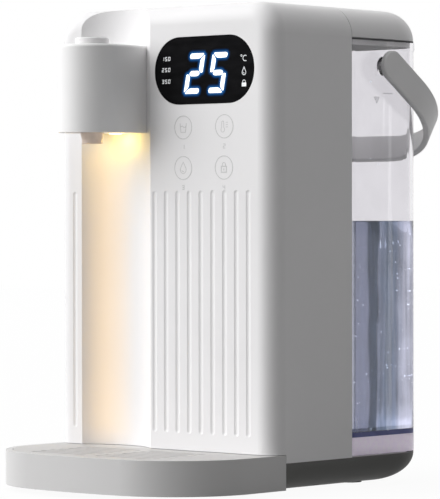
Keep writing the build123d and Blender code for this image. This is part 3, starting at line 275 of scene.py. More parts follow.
dress(metal("heater_steel", (0.60, 0.59, 0.57), 0.34, stretch=(1, 1, 0.06)),
      "heater_tube", "heater_brackets", "thermal_cutout", "pump_motor")
plated_steel = metal("plated_steel", (0.66, 0.65, 0.62), 0.26, stretch=(1, 1, 1))
dress(plated_steel, "back_screws", "base_screws", "deck_screws", "board_screws", "spout_screws",
      "button_spring", "valve_spring", "hose_clips")
dress(metal("probe_brass", (0.72, 0.53, 0.20), 0.28, stretch=(0.1, 1, 1)), "temperature_probe")

# %% [markdown]
# ## Circuit boards
# A board is green lacquer over copper tracks. Cells of a Voronoi pattern measured square by square
# look like tracks and pads from a short distance, and the copper stands a little proud as a bump.

# %% Boards
def circuit_board(name, lacquer, copper):
    finish, shader, place = start_finish(name, {"Specular IOR Level": 0.5})
    cells = place.node("ShaderNodeTexVoronoi", {"distance": "MANHATTAN", "feature": "DISTANCE_TO_EDGE"},
                       {"Vector": place, "Scale": 260.0})
    track = cells.node("ShaderNodeMapRange", None,
                       {"Value": cells, "From Min": 0.05, "From Max": 0.10, "To Min": 1.0, "To Max": 0.0})
    feed(shader, "Base Color", tinted(track, lacquer, copper, 0.2, 0.8))
    feed(shader, "Roughness", 0.34 - 0.08 * track)
    raise_grain(shader, track, 0.04, 0.6)
    return finish


dress(circuit_board("board_green", lacquer=(0.018, 0.13, 0.05), copper=(0.06, 0.26, 0.10)),
      "control_board", "lamp_board", "power_board")

# %% [markdown]
# ## Display window and lamp
# The window is black acrylic, smooth and dark, with faint wiping marks in its gloss. The lamp beside
# the nozzle is a small dome that shines warm, a little unevenly, as a moulded lens does.

# %% Window and lamp
window_black, shader, place = start_finish("window_black", {"Specular IOR Level": 0.015})
wiping = cloud(place, 5, 4.0, (0.3, 1, 1))
feed(shader, "Base Color", tinted(wiping, (0.0045, 0.0045, 0.005), (0.009, 0.009, 0.010)))
feed(shader, "Roughness", 0.10 + 0.10 * wiping)
dress(window_black, "display_lens")

lamp_warm, shader, place = start_finish("lamp_warm", {"Emission Strength": 3.0, "Roughness": 0.2})
speck = cloud(place, 2.5, 2.0)
feed(shader, "Base Color", tinted(speck, (0.85, 0.78, 0.62), (0.95, 0.88, 0.74)))
feed(shader, "Emission Color", tinted(speck, (1.0, 0.74, 0.38), (1.0, 0.83, 0.52)))
dress(lamp_warm, "lamp_lens")

# %% [markdown]
# ## Clear tank and frosted skirt
# The tank is clear blown plastic with a trace of lilac. Its wall is never quite even: weak upright
# waves bend what is seen through it. The skirt under the blue gasket is the same plastic, frosted. It
# gathers light and spreads it, and a very faint glow of its own stands for that.

# %% Clear plastics
tank_clear, shader, place = start_finish(
    "tank_clear", {"Transmission Weight": 1.0, "IOR": 1.45, "Specular IOR Level": 0.5})
upright = cloud(place, 7, 1.0, (1, 1, 0.05))
film = cloud(place, 20, 4.0)
feed(shader, "Base Color", tinted(film, (0.83, 0.82, 0.845), (0.868, 0.858, 0.882)))
feed(shader, "Roughness", 0.015 + 0.03 * film)
raise_grain(shader, upright, 0.25, 0.22)
dress(tank_clear, "tank_wall")

skirt_frosted, shader, place = start_finish(
    "skirt_frosted", {"Transmission Weight": 0.55, "IOR": 1.45, "Specular IOR Level": 0.9,
                      "Emission Strength": 0.055})
frost = cloud(place, 3, 3.0)
feed(shader, "Base Color", tinted(frost, (0.88, 0.83, 0.91), (0.97, 0.92, 1.0)))
feed(shader, "Emission Color", tinted(frost, (0.88, 0.77, 0.94), (0.97, 0.86, 1.0)))
feed(shader, "Roughness", 0.24 + 0.15 * frost)
raise_grain(shader, cloud(place, 0.4, 1.0), 0.01, 0.6)
dress(skirt_frosted, "tank_skirt")
print("nodes without a finish:", [n for n, o in nodes.items() if not o.data.materials])

# %% [markdown]
# ## Flat marks on the face
# Digits, rings and icons are thin flat shapes: ink on the housing, lit strips in the window. They are
# drawn as outlines in the X and Z of the face, then given less than a tenth of a millimetre of thickness.
# Lines become ribbons with mitred corners, so one helper draws every icon.

# %% Plates
def close_plate(bm, front, back):
    """Makes one closed plate of two equal rings of points."""
    front, back = ([bm.verts.new(point) for point in ring] for ring in (front, back))
    bm.faces.new(front)
    bm.faces.new(reversed(back))
    count = len(front)
    for i in range(count):
        j = (i + 1) % count
        bm.faces.new((front[j], front[i], back[i], back[j]))


def add_plate(bm, outline, front_y, thick):
    """One closed flat plate whose front looks towards the user."""
    close_plate(bm, [(x, front_y, z) for x, z in outline], [(x, front_y + thick, z) for x, z in outline])


print("plates ready")

# %% Lines and arcs
SHARPEST_MITRE = 0.45


def ribbon(points, width, closed=False):
    """The two edges of a line of the given width along the points."""
    count = len(points)
    left, right = [], []
    for i, (x, z) in enumerate(points):
        before = points[i - 1] if closed or i else points[i]
        after = points[(i + 1) % count] if closed or i < count - 1 else points[i]
        run_in = Vector((x - before[0], z - before[1]))
        run_out = Vector((after[0] - x, after[1] - z))
        run_in = run_in.normalized() if run_in.length else run_out.normalized()
        run_out = run_out.normalized() if run_out.length else run_in
        along = (run_in + run_out).normalized()
        reach = width / 2 / max(SHARPEST_MITRE, along.dot(run_out))
        left.append((x - along.y * reach, z + along.x * reach))
        right.append((x + along.y * reach, z - along.x * reach))
    return left, right


def add_line(bm, points, width, front_y, thick, closed=False):
    left, right = ribbon(points, width, closed)
    count = len(points)
    back_y = front_y + thick
    rings = []
    for (lx, lz), (rx, rz) in zip(left, right):
        corners = ((lx, front_y, lz), (rx, front_y, rz), (rx, back_y, rz), (lx, back_y, lz))
        rings.append([bm.verts.new(corner) for corner in corners])
    for i in range(count if closed else count - 1):
        a, b = rings[i], rings[(i + 1) % count]
        for k in range(4):
            bm.faces.new((a[k], a[(k + 1) % 4], b[(k + 1) % 4], b[k]))
    if not closed:
        bm.faces.new(rings[0])
        bm.faces.new(reversed(rings[-1]))


def arc(x, z, radius, start, end, steps):
    turn = [math.radians(start + (end - start) * i / steps) for i in range(steps + 1)]
    return [(x + radius * math.cos(t), z + radius * math.sin(t)) for t in turn]


print("lines and arcs ready")


# %% From a shape to a piece
def link_mesh(name, bm, finish):
    """Puts the shape into the scene as a piece with one finish."""
    mesh = bpy.data.meshes.new(name)
    bm.to_mesh(mesh)
    bm.free()
    mesh.materials.append(finish)
    piece = bpy.data.objects.new(name, mesh)
    scene.collection.objects.link(piece)
    return piece


def keep_mesh(name, bm, finish, body):
    """A piece with its faces turned outwards, carried by one body."""
    bmesh.ops.recalc_face_normals(bm, faces=bm.faces)
    piece = link_mesh(name, bm, finish)
    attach(piece, body)
    print(name, len(piece.data.polygons), "faces on", body)
    return piece


print("pieces can be linked and kept")

# %% [markdown]
# ## Seven strips make a digit
# The display shows the water temperature with slanted seven-strip digits. Each strip has mitred ends,
# so neighbours leave a fine dark joint. The letters a to g stand for the strips at the top, upper right,
# lower right, bottom, lower left, upper left and middle.

# %% Digit outlines
STRIPS = {"0": "abcdef", "1": "bc", "2": "abged", "3": "abgcd", "4": "fgbc", "5": "afgcd",
          "6": "afgedc", "7": "abc", "8": "abcdefg", "9": "abcdfg"}


def digit_strips(figure, x, z, wide, high, thick, lean, joint):
    """Outlines of the lit strips of one figure, centred on x and z; free ends are cut square."""
    w, h, t, g = wide / 2, high / 2, thick, joint / 2
    upper = [(w, h - g * 2), (w, g * 2), (w - t / 2, g), (w - t, t / 2 + g), (w - t, h - t - g * 2)]
    shapes = {
        "g": [(-w + t / 2 + g * 2, 0), (-w + t + g, t / 2), (w - t - g, t / 2), (w - t / 2 - g * 2, 0),
              (w - t - g, -t / 2), (-w + t + g, -t / 2)],
        "b": upper,
    }
    lit = STRIPS[figure]
    for name, rise, left, right in (("a", 1, "f", "b"), ("d", -1, "e", "c")):
        ends = [(-w + g * 2, -w + t + g * 2) if left in lit else (-w + t * 0.3, -w + t * 0.3),
                (w - g * 2, w - t - g * 2) if right in lit else (w - t * 0.3, w - t * 0.3)]
        shapes[name] = [(ends[0][0], rise * h), (ends[1][0], rise * h),
                        (ends[1][1], rise * (h - t)), (ends[0][1], rise * (h - t))]
    shapes["c"] = [(px, -pz) for px, pz in upper]
    shapes["f"] = [(-px, pz) for px, pz in upper]
    shapes["e"] = [(-px, -pz) for px, pz in upper]
    return [[(x + px + pz * lean, z + pz) for px, pz in shapes[name]] for name in lit]


print("figures:", "".join(STRIPS))


# %% Softer and larger outlines
def rounded(outline, radius, steps=3):
    """The outline with its corners cut to short curves."""
    soft = []
    count = len(outline)
    for i in range(count):
        here = Vector(outline[i])
        before, after = Vector(outline[i - 1]), Vector(outline[(i + 1) % count])
        cut_in = min(radius, (before - here).length * 0.45)
        cut_out = min(radius, (after - here).length * 0.45)
        start = here + (before - here).normalized() * cut_in
        end = here + (after - here).normalized() * cut_out
        for k in range(steps + 1):
            s = k / steps
            soft.append(tuple(start * (1 - s) ** 2 + here * 2 * s * (1 - s) + end * s ** 2))
    return soft


def grown(outline, reach):
    """The outline pushed out by reach on every side."""
    middle = sum((Vector(p) for p in outline), Vector((0, 0))) / len(outline)
    left, right = ribbon(outline, reach * 2, closed=True)
    return left if (Vector(left[0]) - middle).length > (Vector(right[0]) - middle).length else right


print("outlines can be rounded and grown")

# %% [markdown]
# ## The lit figures and their glow
# A lit strip is white in its middle and throws a blue glow on the black window. The strips are plates
# that shine. The glow is a set of flat rims whose strength falls from the strip outwards; the number is
# kept in an attribute of the mesh, and the finish turns it into blue light and see-through rim.

# %% Figures of the temperature
figure_white, shader, place = start_finish("figure_white", {"Emission Strength": 1.0, "Roughness": 0.4})
grain = cloud(place, 1.5, 2.0)
feed(shader, "Base Color", tinted(grain, (0.80, 0.86, 0.92), (0.86, 0.90, 0.95)))
feed(shader, "Emission Color", tinted(grain, (0.74, 0.90, 1.0), (0.92, 0.98, 1.0)))

FIGURES = (("2", 27.6 * MM), ("5", 46.9 * MM))
FIGURE_Z = 257.3 * MM
FIGURE_SIZES = {"wide": 13.2 * MM, "high": 24.7 * MM, "thick": 3.3 * MM, "lean": 0.2, "joint": 0.5 * MM}
FIGURE_CORNER = 1.5 * MM
strips = []
for figure, x in FIGURES:
    for strip in digit_strips(figure, x, FIGURE_Z, **FIGURE_SIZES):
        strips.append(rounded(strip, FIGURE_CORNER))

bm = bmesh.new()
for strip in strips:
    add_plate(bm, strip, lens_y - 0.08 * MM, 0.07 * MM)
keep_mesh("display_figures", bm, figure_white, "base")

# %% The blue glow round the figures
glow_blue, shader, place = start_finish("glow_blue", {"Emission Strength": 1.0, "Specular IOR Level": 0.0})
fall = place.node("ShaderNodeAttribute", {"attribute_name": "glow"}, None, "Fac")
feed(shader, "Base Color", tinted(fall, (0.0, 0.0, 0.0), (0.0, 0.002, 0.01), 0, 1))
feed(shader, "Emission Color", tinted(fall, (0.0, 0.06, 0.25), (0.04, 0.22, 0.62), 0, 1))
feed(shader, "Alpha", fall)

GLOW_RIMS_MM = ((-0.4, 0.95), (0.3, 0.8), (0.9, 0.45), (1.6, 0.18), (2.4, 0.0))
LOWEST_GLOW, GLOW_STEP = 0.012 * MM, 0.003 * MM
bm = bmesh.new()
glow = bm.verts.layers.float.new("glow")
for order, strip in enumerate(strips):
    y = lens_y - LOWEST_GLOW - GLOW_STEP * order
    rims = []
    for reach, strength in GLOW_RIMS_MM:
        rim = [bm.verts.new((x, y, z)) for x, z in grown(strip, reach * MM)]
        for v in rim:
            v[glow] = strength
        rims.append(rim)
    for inner, outer in zip(rims, rims[1:]):
        for i in range(len(inner)):
            j = (i + 1) % len(inner)
            bm.faces.new((inner[i], inner[j], outer[j], outer[i]))
for f in bm.faces:
    f.normal_update()
    if f.normal.y > 0:
        f.normal_flip()
display_glow = link_mesh("display_glow", bm, glow_blue)
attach(display_glow, "base")
print("glow rims:", len(display_glow.data.polygons), "faces")

# %% [markdown]
# ## Small lit signs in the window
# Left of the figures are three short lines for the amount of water, shown here as plain numbers. Right
# of them are small signs: a degree ring with a C, a drop and a lock. They are thin lit lines.

# %% Finish of the signs
sign_white, shader, place = start_finish("sign_white", {"Emission Strength": 0.35, "Roughness": 0.5})
grain = cloud(place, 0.8, 2.0)
feed(shader, "Base Color", tinted(grain, (0.62, 0.64, 0.66), (0.72, 0.74, 0.76)))
feed(shader, "Emission Color", tinted(grain, (0.70, 0.72, 0.74), (0.92, 0.94, 0.96)))
print("signs in", sign_white.name)


# %% Amounts and signs
def drop_outline(x, z, wide, high):
    """A water drop: round below, pointed above."""
    r = wide / 2
    low = z - high / 2 + r
    return [(x, z + high / 2)] + arc(x, low, r, 150, 390, 14)


SIGN_THICK = 0.05 * MM
AMOUNTS_MM = (("150", 267.0), ("250", 260.2), ("350", 253.0))
AMOUNT_START, AMOUNT_STEP = 1.3, 2.6
AMOUNT_SIZES = {"wide": 1.7 * MM, "high": 2.5 * MM, "thick": 0.4 * MM, "lean": 0.1, "joint": 0.05 * MM}
LINE, FINE_LINE, FINEST_LINE = 0.4 * MM, 0.35 * MM, 0.3 * MM
sign_y = lens_y - 0.06 * MM
sign_x = 68.0 * MM
bm = bmesh.new()
for amount, z in AMOUNTS_MM:
    for i, figure in enumerate(amount):
        for strip in digit_strips(figure, (AMOUNT_START + AMOUNT_STEP * i) * MM, z * MM, **AMOUNT_SIZES):
            add_plate(bm, strip, sign_y, SIGN_THICK)
degree = arc(sign_x - 2.0 * MM, 267.0 * MM, 0.55 * MM, 0, 330, 11)
add_line(bm, degree, FINEST_LINE, sign_y, SIGN_THICK, True)
letter = arc(sign_x + 0.9 * MM, 265.4 * MM, 1.7 * MM, 50, 310, 16)
add_line(bm, letter, LINE, sign_y, SIGN_THICK)
drop = drop_outline(sign_x, 257.7 * MM, 3.0 * MM, 4.8 * MM)
add_line(bm, drop, LINE, sign_y, SIGN_THICK, True)
drop_shine = arc(sign_x, 257.0 * MM, 0.7 * MM, 180, 300, 6)
add_line(bm, drop_shine, FINE_LINE, sign_y, SIGN_THICK)
lock_left, lock_right = sign_x - 1.8 * MM, sign_x + 1.8 * MM
lock_low, lock_high = 248.2 * MM, 250.6 * MM
lock_body = [(lock_left, lock_low), (lock_right, lock_low), (lock_right, lock_high), (lock_left, lock_high)]
add_plate(bm, rounded(lock_body, 0.4 * MM), sign_y, SIGN_THICK)
shackle = arc(sign_x, lock_high + 0.4 * MM, 1.15 * MM, -20, 200, 12)
add_line(bm, shackle, LINE, sign_y, SIGN_THICK)
keep_mesh("display_signs", bm, sign_white, "base")

# %% [markdown]
# ## Printed touch keys
# Four touch keys are printed on the wall in thin grey ink: a ring with a line drawing in it and a plain
# number below. The rings repeat, so a small geometry tree draws one ring and sets it on four points.

# %% Helpers for geometry trees
def geometry_tree(name, sizes):
    """An empty tree with named sizes; gives the tree, wires from its inputs and its end."""
    tree = bpy.data.node_groups.new(name, "GeometryNodeTree")
    tree.interface.new_socket("Geometry", in_out="INPUT", socket_type="NodeSocketGeometry")
    for label, (kind, value) in sizes.items():
        made = tree.interface.new_socket(label, in_out="INPUT", socket_type=kind)
        if value is not None:
            made.default_value = value
    tree.interface.new_socket("Geometry", in_out="OUTPUT", socket_type="NodeSocketGeometry")
    start = tree.nodes.new("NodeGroupInput")
    end = tree.nodes.new("NodeGroupOutput")
    return tree, {label: Wire(tree, start.outputs[label]) for label in ["Geometry", *sizes]}, end


def close_tree(tree, end, shape, finish_wire):
    """Realises the copies, gives them their finish and joins them to the tree's end."""
    real = shape.node("GeometryNodeRealizeInstances", None, {"Geometry": shape})
    done = real.node("GeometryNodeSetMaterial", None, {"Geometry": real, "Material": finish_wire})
    tree.links.new(done.socket, end.inputs["Geometry"])


def grow_piece(name, start_mesh, tree, sizes):
    """Runs a tree on a mesh and keeps the result as a plain mesh without the modifier."""
    piece = bpy.data.objects.new(name, start_mesh)
    scene.collection.objects.link(piece)
    modifier = piece.modifiers.new("grow", "NODES")
    modifier.node_group = tree
    for item in tree.interface.items_tree:
        if item.item_type == "SOCKET" and item.in_out == "INPUT" and item.name in sizes:
            modifier[item.identifier] = sizes[item.name]
    graph = bpy.context.evaluated_depsgraph_get()
    plain = bpy.data.meshes.new_from_object(piece.evaluated_get(graph))
    piece.modifiers.remove(modifier)
    piece.data = plain
    plain.name = name
    print(name, len(plain.polygons), "faces")
    return piece


def points_mesh(name, points):
    mesh = bpy.data.meshes.new(name)
    mesh.from_pydata([tuple(p) for p in points], [], [])
    return mesh


print("helpers for geometry trees ready")

# %% Key rings
key_ink, shader, place = start_finish("key_ink", {"Specular IOR Level": 0.3})
worn = cloud(place, 1.2, 4.0)
feed(shader, "Base Color", tinted(worn, (0.56, 0.56, 0.56), (0.64, 0.64, 0.64)))
feed(shader, "Roughness", 0.5 + 0.2 * worn)

KEYS_MM = ((18.1, 224.4), (51.9, 224.4), (18.1, 199.4), (51.6, 199.3))
INK_THICK = 0.045 * MM
ink_y = face_y - 0.05 * MM

ring_tree, wires, end = geometry_tree("key_rings", {
    "Ring Radius": ("NodeSocketFloat", 7.1 * MM),
    "Line Width": ("NodeSocketFloat", 0.42 * MM),
    "Ink Thickness": ("NodeSocketFloat", INK_THICK),
    "Ink": ("NodeSocketMaterial", None),
})
start = wires["Geometry"]
circle = start.node("GeometryNodeCurvePrimitiveCircle", None,
                    {"Resolution": 72, "Radius": wires["Ring Radius"]})
profile = start.node("GeometryNodeCurvePrimitiveQuadrilateral", None,
                     {"Width": wires["Line Width"], "Height": wires["Ink Thickness"]})
ring = circle.node("GeometryNodeCurveToMesh", None, {"Curve": circle, "Profile Curve": profile})
upright_ring = ring.node("GeometryNodeTransform", None, {"Geometry": ring, "Rotation": (math.pi / 2, 0, 0)})
set_rings = ring.node("GeometryNodeInstanceOnPoints", None, {"Points": start, "Instance": upright_ring})
close_tree(ring_tree, end, set_rings, wires["Ink"])
key_places = points_mesh("key_points", [(x * MM, ink_y + INK_THICK / 2, z * MM) for x, z in KEYS_MM])
key_rings = grow_piece("key_rings", key_places, ring_tree, {"Ink": key_ink})
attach(key_rings, "base")

# %% Key drawings
def key_line(bm, key, points, closed=False, width=0.45):
    """A printed line on one key, in millimetres from the key's middle."""
    x, z = key
    add_line(bm, [((x + px) * MM, (z + pz) * MM) for px, pz in points], width * MM, ink_y, INK_THICK, closed)


bm = bmesh.new()
cup, heat, drop, lock = KEYS_MM
key_line(bm, cup, [(-2.6, 2.6), (-1.9, -3.0), (1.9, -3.0), (2.6, 2.6)])
key_line(bm, cup, [(-2.2, 0.4), (-0.8, 0.9), (0.8, -0.1), (2.2, 0.4)])
key_line(bm, heat, arc(-1.2, -2.0, 1.5, 125, 415, 14))
key_line(bm, heat, [(-2.05, -0.8), (-2.05, 2.4)])
key_line(bm, heat, [(-0.35, -0.8), (-0.35, 2.4)])
key_line(bm, heat, arc(-1.2, 2.4, 0.85, 0, 180, 8))
for rise in (2.4, 1.0, -0.4):
    key_line(bm, heat, [(1.3, rise), (3.0, rise)])
key_line(bm, drop, [(0.0, 3.6)] + arc(0.0, -1.0, 2.4, 145, 395, 18), True)
key_line(bm, drop, arc(0.0, -1.0, 1.2, 200, 290, 6))
key_line(bm, lock, [(-2.1, -2.9), (2.1, -2.9), (2.1, 0.7), (-2.1, 0.7)], True, 0.7)
key_line(bm, lock, [(-1.3, 0.7), (-1.3, 1.7)] + arc(0.0, 1.7, 1.3, 180, 0, 10) + [(1.3, 1.7), (1.3, 0.7)])
key_line(bm, lock, [(0.0, -1.8), (0.0, -0.5)], False, 0.7)
NUMBER_DROP = 12.0
NUMBER_SIZES = {"wide": 2.0 * MM, "high": 3.0 * MM, "thick": 0.5 * MM, "lean": 0.0, "joint": 0.05 * MM}
for number, (x, z) in zip("1234", KEYS_MM):
    for strip in digit_strips(number, x * MM, (z - NUMBER_DROP) * MM, **NUMBER_SIZES):
        add_plate(bm, strip, ink_y, INK_THICK)
keep_mesh("key_drawings", bm, key_ink, "base")

# %% [markdown]
# ## Water in the tank
# The tank is a little more than half full. Water climbs the wall by about a millimetre, and that rim
# draws the bright line at the surface. The body of water is a stack of rounded rectangles inside the
# tank. Its side lies halfway into the wall, so no film of air shows between the two clear solids.

# %% The outline of the tank
WALL = 2.2 * MM
FRONT_CORNER, REAR_CORNER = 8 * MM, 16 * MM
water_level = 166.0 * MM


def tank_loop(inset, steps=10):
    """A rounded rectangle inside the tank's outline, counted anticlockwise from above."""
    x0, x1 = tank_low.x + inset, tank_high.x - inset
    y0, y1 = tank_low.y + inset, tank_high.y - inset
    loop = []
    for cx, cy, r, start in ((x1, y1, REAR_CORNER, 0), (x0, y1, REAR_CORNER, 90),
                             (x0, y0, FRONT_CORNER, 180), (x1, y0, FRONT_CORNER, 270)):
        r = max(0.3 * MM, r - inset)
        mx = cx - r if cx > 0 else cx + r
        my = cy - r if cy == y1 else cy + r
        loop += arc(mx, my, r, start, start + 90, steps)
    return loop


print("points in the tank's outline:", len(tank_loop(0)))

# %% [markdown]
# ## How the water looks
# Clear water in a tank is seldom even to look at. Its side shows what lies behind, bent by the corners:
# pale in front, a dark upright band, then paler again towards the rear. A ramp along Y gives these
# bands, and a wavering noise bends them. Fine air in the water also scatters light towards the eye. A
# faint glow on the two flat sides stands for that, in upright streaks and stronger at the foot.

# %% Water finish
WATER_BANDS = [(0.0, (0.36, 0.38, 0.44)), (0.18, (0.32, 0.345, 0.40)), (0.25, (0.028, 0.04, 0.06)),
               (0.42, (0.035, 0.055, 0.08)), (0.49, (0.46, 0.50, 0.58)), (0.58, (0.22, 0.26, 0.33)),
               (0.75, (0.30, 0.34, 0.42)), (1.0, (0.78, 0.80, 0.86))]
GLOW_BANDS = [(0.0, (0.03, 0.035, 0.06)), (0.18, (0.02, 0.025, 0.05)), (0.25, (0.004, 0.007, 0.014)),
              (0.42, (0.008, 0.014, 0.026)), (0.49, (0.08, 0.095, 0.14)), (0.58, (0.065, 0.09, 0.14)),
              (0.75, (0.12, 0.145, 0.21)), (1.0, (0.36, 0.37, 0.46))]
BANDS_PER_METRE, BAND_START, BAND_BEND = 20.0, 0.6, 0.34
SIDE_START, SIDE_END = 83.0 * MM, 84.5 * MM
STREAK_GLOW, CLOUD_GLOW, GLOW_LOSS, FOOT_GLOW = 1.9, 1.2, 0.55, 0.7
FOOT_HEIGHT = 15 * MM
water_clear, shader, place = start_finish(
    "water_clear", {"Transmission Weight": 1.0, "IOR": 1.333, "Roughness": 0.0, "Emission Strength": 1.0})
x, y, z = (place.node("ShaderNodeSeparateXYZ", None, {0: place}, axis) for axis in "XYZ")
waver = cloud(place, 12, 2.0, (1, 1, 0.05)) + cloud(place, 22, 3.0, (1, 1, 0.5))
back = BANDS_PER_METRE * y - BAND_START + BAND_BEND * (waver - 1.0)
feed(shader, "Base Color", back.node("ShaderNodeValToRGB", {"stops": WATER_BANDS}, {"Fac": back}))
side = x.node("ShaderNodeMapRange", None,
              {"Value": x.maths("ABSOLUTE", x, 0.0), "From Min": SIDE_START, "From Max": SIDE_END})
foot = z.node("ShaderNodeMapRange", None,
              {"Value": z, "From Min": tank_floor + FOOT_HEIGHT, "From Max": tank_floor})
streaks = cloud(place, 4, 3.0, (1, 1, 0.04))
uneven = STREAK_GLOW * streaks + CLOUD_GLOW * cloud(place, 30, 4.0) - GLOW_LOSS
scatter = side * uneven + FOOT_GLOW * side * foot
pale = back.node("ShaderNodeValToRGB", {"stops": GLOW_BANDS}, {"Fac": back})
faint = pale.node("ShaderNodeVectorMath", {"operation": "MULTIPLY"}, {0: pale, 1: scatter})
feed(shader, "Emission Color", faint)
raise_grain(shader, cloud(place, 25, 2.0), 0.3, 0.1)
print("water finish with", len(WATER_BANDS), "bands")

# %% The body of water
STEPS_UP = 8
gap = WALL / 2
sections = [(gap + 0.4 * MM, tank_floor - 2.3 * MM), (gap, tank_floor - 1.9 * MM)]
for k in range(1, STEPS_UP + 1):
    sections.append((gap, tank_floor + (water_level - tank_floor) * k / STEPS_UP))
sections += [(WALL + 0.2 * MM, water_level + 0.75 * MM), (WALL + 0.8 * MM, water_level + 0.25 * MM),
             (WALL + 2.0 * MM, water_level)]
bm = bmesh.new()
loops = [[bm.verts.new((x, y, z)) for x, y in tank_loop(inset)] for inset, z in sections]
for low, high in zip(loops, loops[1:]):
    for i in range(len(low)):
        j = (i + 1) % len(low)
        bm.faces.new((low[i], low[j], high[j], high[i])).smooth = True
bm.faces.new(reversed(loops[0]))
bm.faces.new(loops[-1])
tank_water = keep_mesh("tank_water", bm, water_clear, "tank")

# %% [markdown]
# ## Bubbles and droplets
# Fresh water leaves small bubbles on the wall, and above the surface there is a mist of droplets. Both
# are scattered by one tree on a strip of the inner wall: random places and sizes from a fixed seed, a
# small ball at each, made real at the end. The cube of a random number makes most of them small.

# %% A tree that scatters beads
# The beads' faint glow of their own is painted light, a glint that stands for the light they catch.
bead_glint_finish, shader, place = start_finish(
    "bead_clear_painted_glint", {"Transmission Weight": 0.3, "IOR": 1.2, "Roughness": 0.08, "Emission Strength": 0.5})
bead_cloud = cloud(place, 3, 2.0)
feed(shader, "Base Color", tinted(bead_cloud, (0.86, 0.88, 0.92), (0.97, 0.98, 1.0)))
feed(shader, "Emission Color", tinted(bead_cloud, (0.62, 0.66, 0.74), (0.88, 0.92, 1.0)))

bead_tree, wires, end = geometry_tree("wall_beads", {
    "Per Square Metre": ("NodeSocketFloat", 4000.0),
    "Smallest": ("NodeSocketFloat", 0.2 * MM),
    "Largest": ("NodeSocketFloat", 0.7 * MM),
    "Seed": ("NodeSocketInt", 3),
    "Finish": ("NodeSocketMaterial", None),
})
start = wires["Geometry"]
spots = start.node("GeometryNodeDistributePointsOnFaces", {"distribute_method": "RANDOM"},
                   {"Mesh": start, "Density": wires["Per Square Metre"], "Seed": wires["Seed"]})
ball = start.node("GeometryNodeMeshIcoSphere", None, {"Radius": 1.0, "Subdivisions": 2})
smooth_ball = ball.node("GeometryNodeSetShadeSmooth", None, {"Geometry": ball})
chance = start.node("FunctionNodeRandomValue", {"data_type": "FLOAT"},
                    {2: 0.0, 3: 1.0, "Seed": wires["Seed"]}, 1)
size = wires["Smallest"] + (wires["Largest"] - wires["Smallest"]) * (chance * chance * chance)
beads = spots.node("GeometryNodeInstanceOnPoints", None,
                   {"Points": spots, "Instance": smooth_ball, "Scale": size})
close_tree(bead_tree, end, beads, wires["Finish"])
print("bead tree with", len(bead_tree.nodes), "nodes")


# %% Bubbles and droplets
def wall_strip(name, inset, low, high):
    """The strip of the tank's inner wall between two heights, as a start for the beads."""
    loop = tank_loop(inset)
    count = len(loop)
    verts = [(x, y, low) for x, y in loop] + [(x, y, high) for x, y in loop]
    faces = [(i, (i + 1) % count, count + (i + 1) % count, count + i) for i in range(count)]
    mesh = bpy.data.meshes.new(name)
    mesh.from_pydata(verts, [], faces)
    return mesh


DROPLET_TOP = 262 * MM
bubble_strip = wall_strip("bubble_strip", WALL + 1.0 * MM, tank_floor + 12 * MM, water_level - 6 * MM)
bubbles = grow_piece("tank_bubbles", bubble_strip, bead_tree, {
    "Per Square Metre": 9000.0, "Smallest": 0.15 * MM, "Largest": 0.6 * MM, "Seed": 7,
    "Finish": bead_glint_finish})
droplet_strip = wall_strip("droplet_strip", WALL + 0.45 * MM, water_level + 8 * MM, DROPLET_TOP)
droplets = grow_piece("tank_droplets", droplet_strip, bead_tree, {
    "Per Square Metre": 3000.0, "Smallest": 0.14 * MM, "Largest": 0.55 * MM, "Seed": 12,
    "Finish": bead_glint_finish})
for piece in (bubbles, droplets):
    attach(piece, "tank")

# %% [markdown]
# ## Screws with a cross recess
# The base, the deck and the back plate are held by pan-head screws. The CAD keeps plain heads for
# collision; here each gets a chamfered head with a cross cut into it. The places come from the CAD
# screws themselves: every loose island of that node is one screw.

# %% Screw places
MERGE_DISTANCE = 1e-6


def merged_copy(name):
    """The mesh of a CAD node with its loose triangles joined."""
    bm = bmesh.new()
    bm.from_mesh(nodes[name].data)
    bmesh.ops.remove_doubles(bm, verts=bm.verts, dist=MERGE_DISTANCE)
    return bm


def screw_islands(name):
    """Lowest and highest corner of each separate screw of a CAD node."""
    bm = merged_copy(name)
    left = set(bm.verts)
    boxes = []
    while left:
        grow, island = [left.pop()], []
        while grow:
            v = grow.pop()
            island.append(v.co.copy())
            for e in v.link_edges:
                o = e.other_vert(v)
                if o in left:
                    left.remove(o)
                    grow.append(o)
        low = Vector([min(c[k] for c in island) for k in range(3)])
        high = Vector([max(c[k] for c in island) for k in range(3)])
        boxes.append((low, high))
    bm.free()
    return sorted(boxes, key=lambda b: tuple(b[0]))


print("base screws found:", len(screw_islands("base_screws")))

# %% A screw as a tree
CROWN_TOP, ARM_LONG, ARM_WIDE, ARM_DEEP = 0.72, 1.15, 0.26, 0.9
screw_tree, wires, end = geometry_tree("cross_screws", {
    "Head Radius": ("NodeSocketFloat", 3.2 * MM),
    "Head Height": ("NodeSocketFloat", 2.0 * MM),
    "Shank Radius": ("NodeSocketFloat", 1.4 * MM),
    "Shank Length": ("NodeSocketFloat", 6.0 * MM),
    "Turn": ("NodeSocketVector", (0.0, 0.0, 0.0)),
    "Finish": ("NodeSocketMaterial", None),
})
start = wires["Geometry"]
radius, height = wires["Head Radius"], wires["Head Height"]
disc = start.node("GeometryNodeMeshCylinder", None,
                  {"Vertices": 28, "Radius": radius, "Depth": height * 0.5})
crown = start.node("GeometryNodeMeshCone", None, {"Vertices": 28, "Radius Top": radius * CROWN_TOP,
                                                  "Radius Bottom": radius, "Depth": height * 0.5})
disc_up = disc.node("GeometryNodeTransform", None, {
    "Geometry": disc, "Translation": start.node("ShaderNodeCombineXYZ", None, {"Z": height * 0.25})})
crown_up = crown.node("GeometryNodeTransform", None, {
    "Geometry": crown, "Translation": start.node("ShaderNodeCombineXYZ", None, {"Z": height * 0.5})})
arms = []
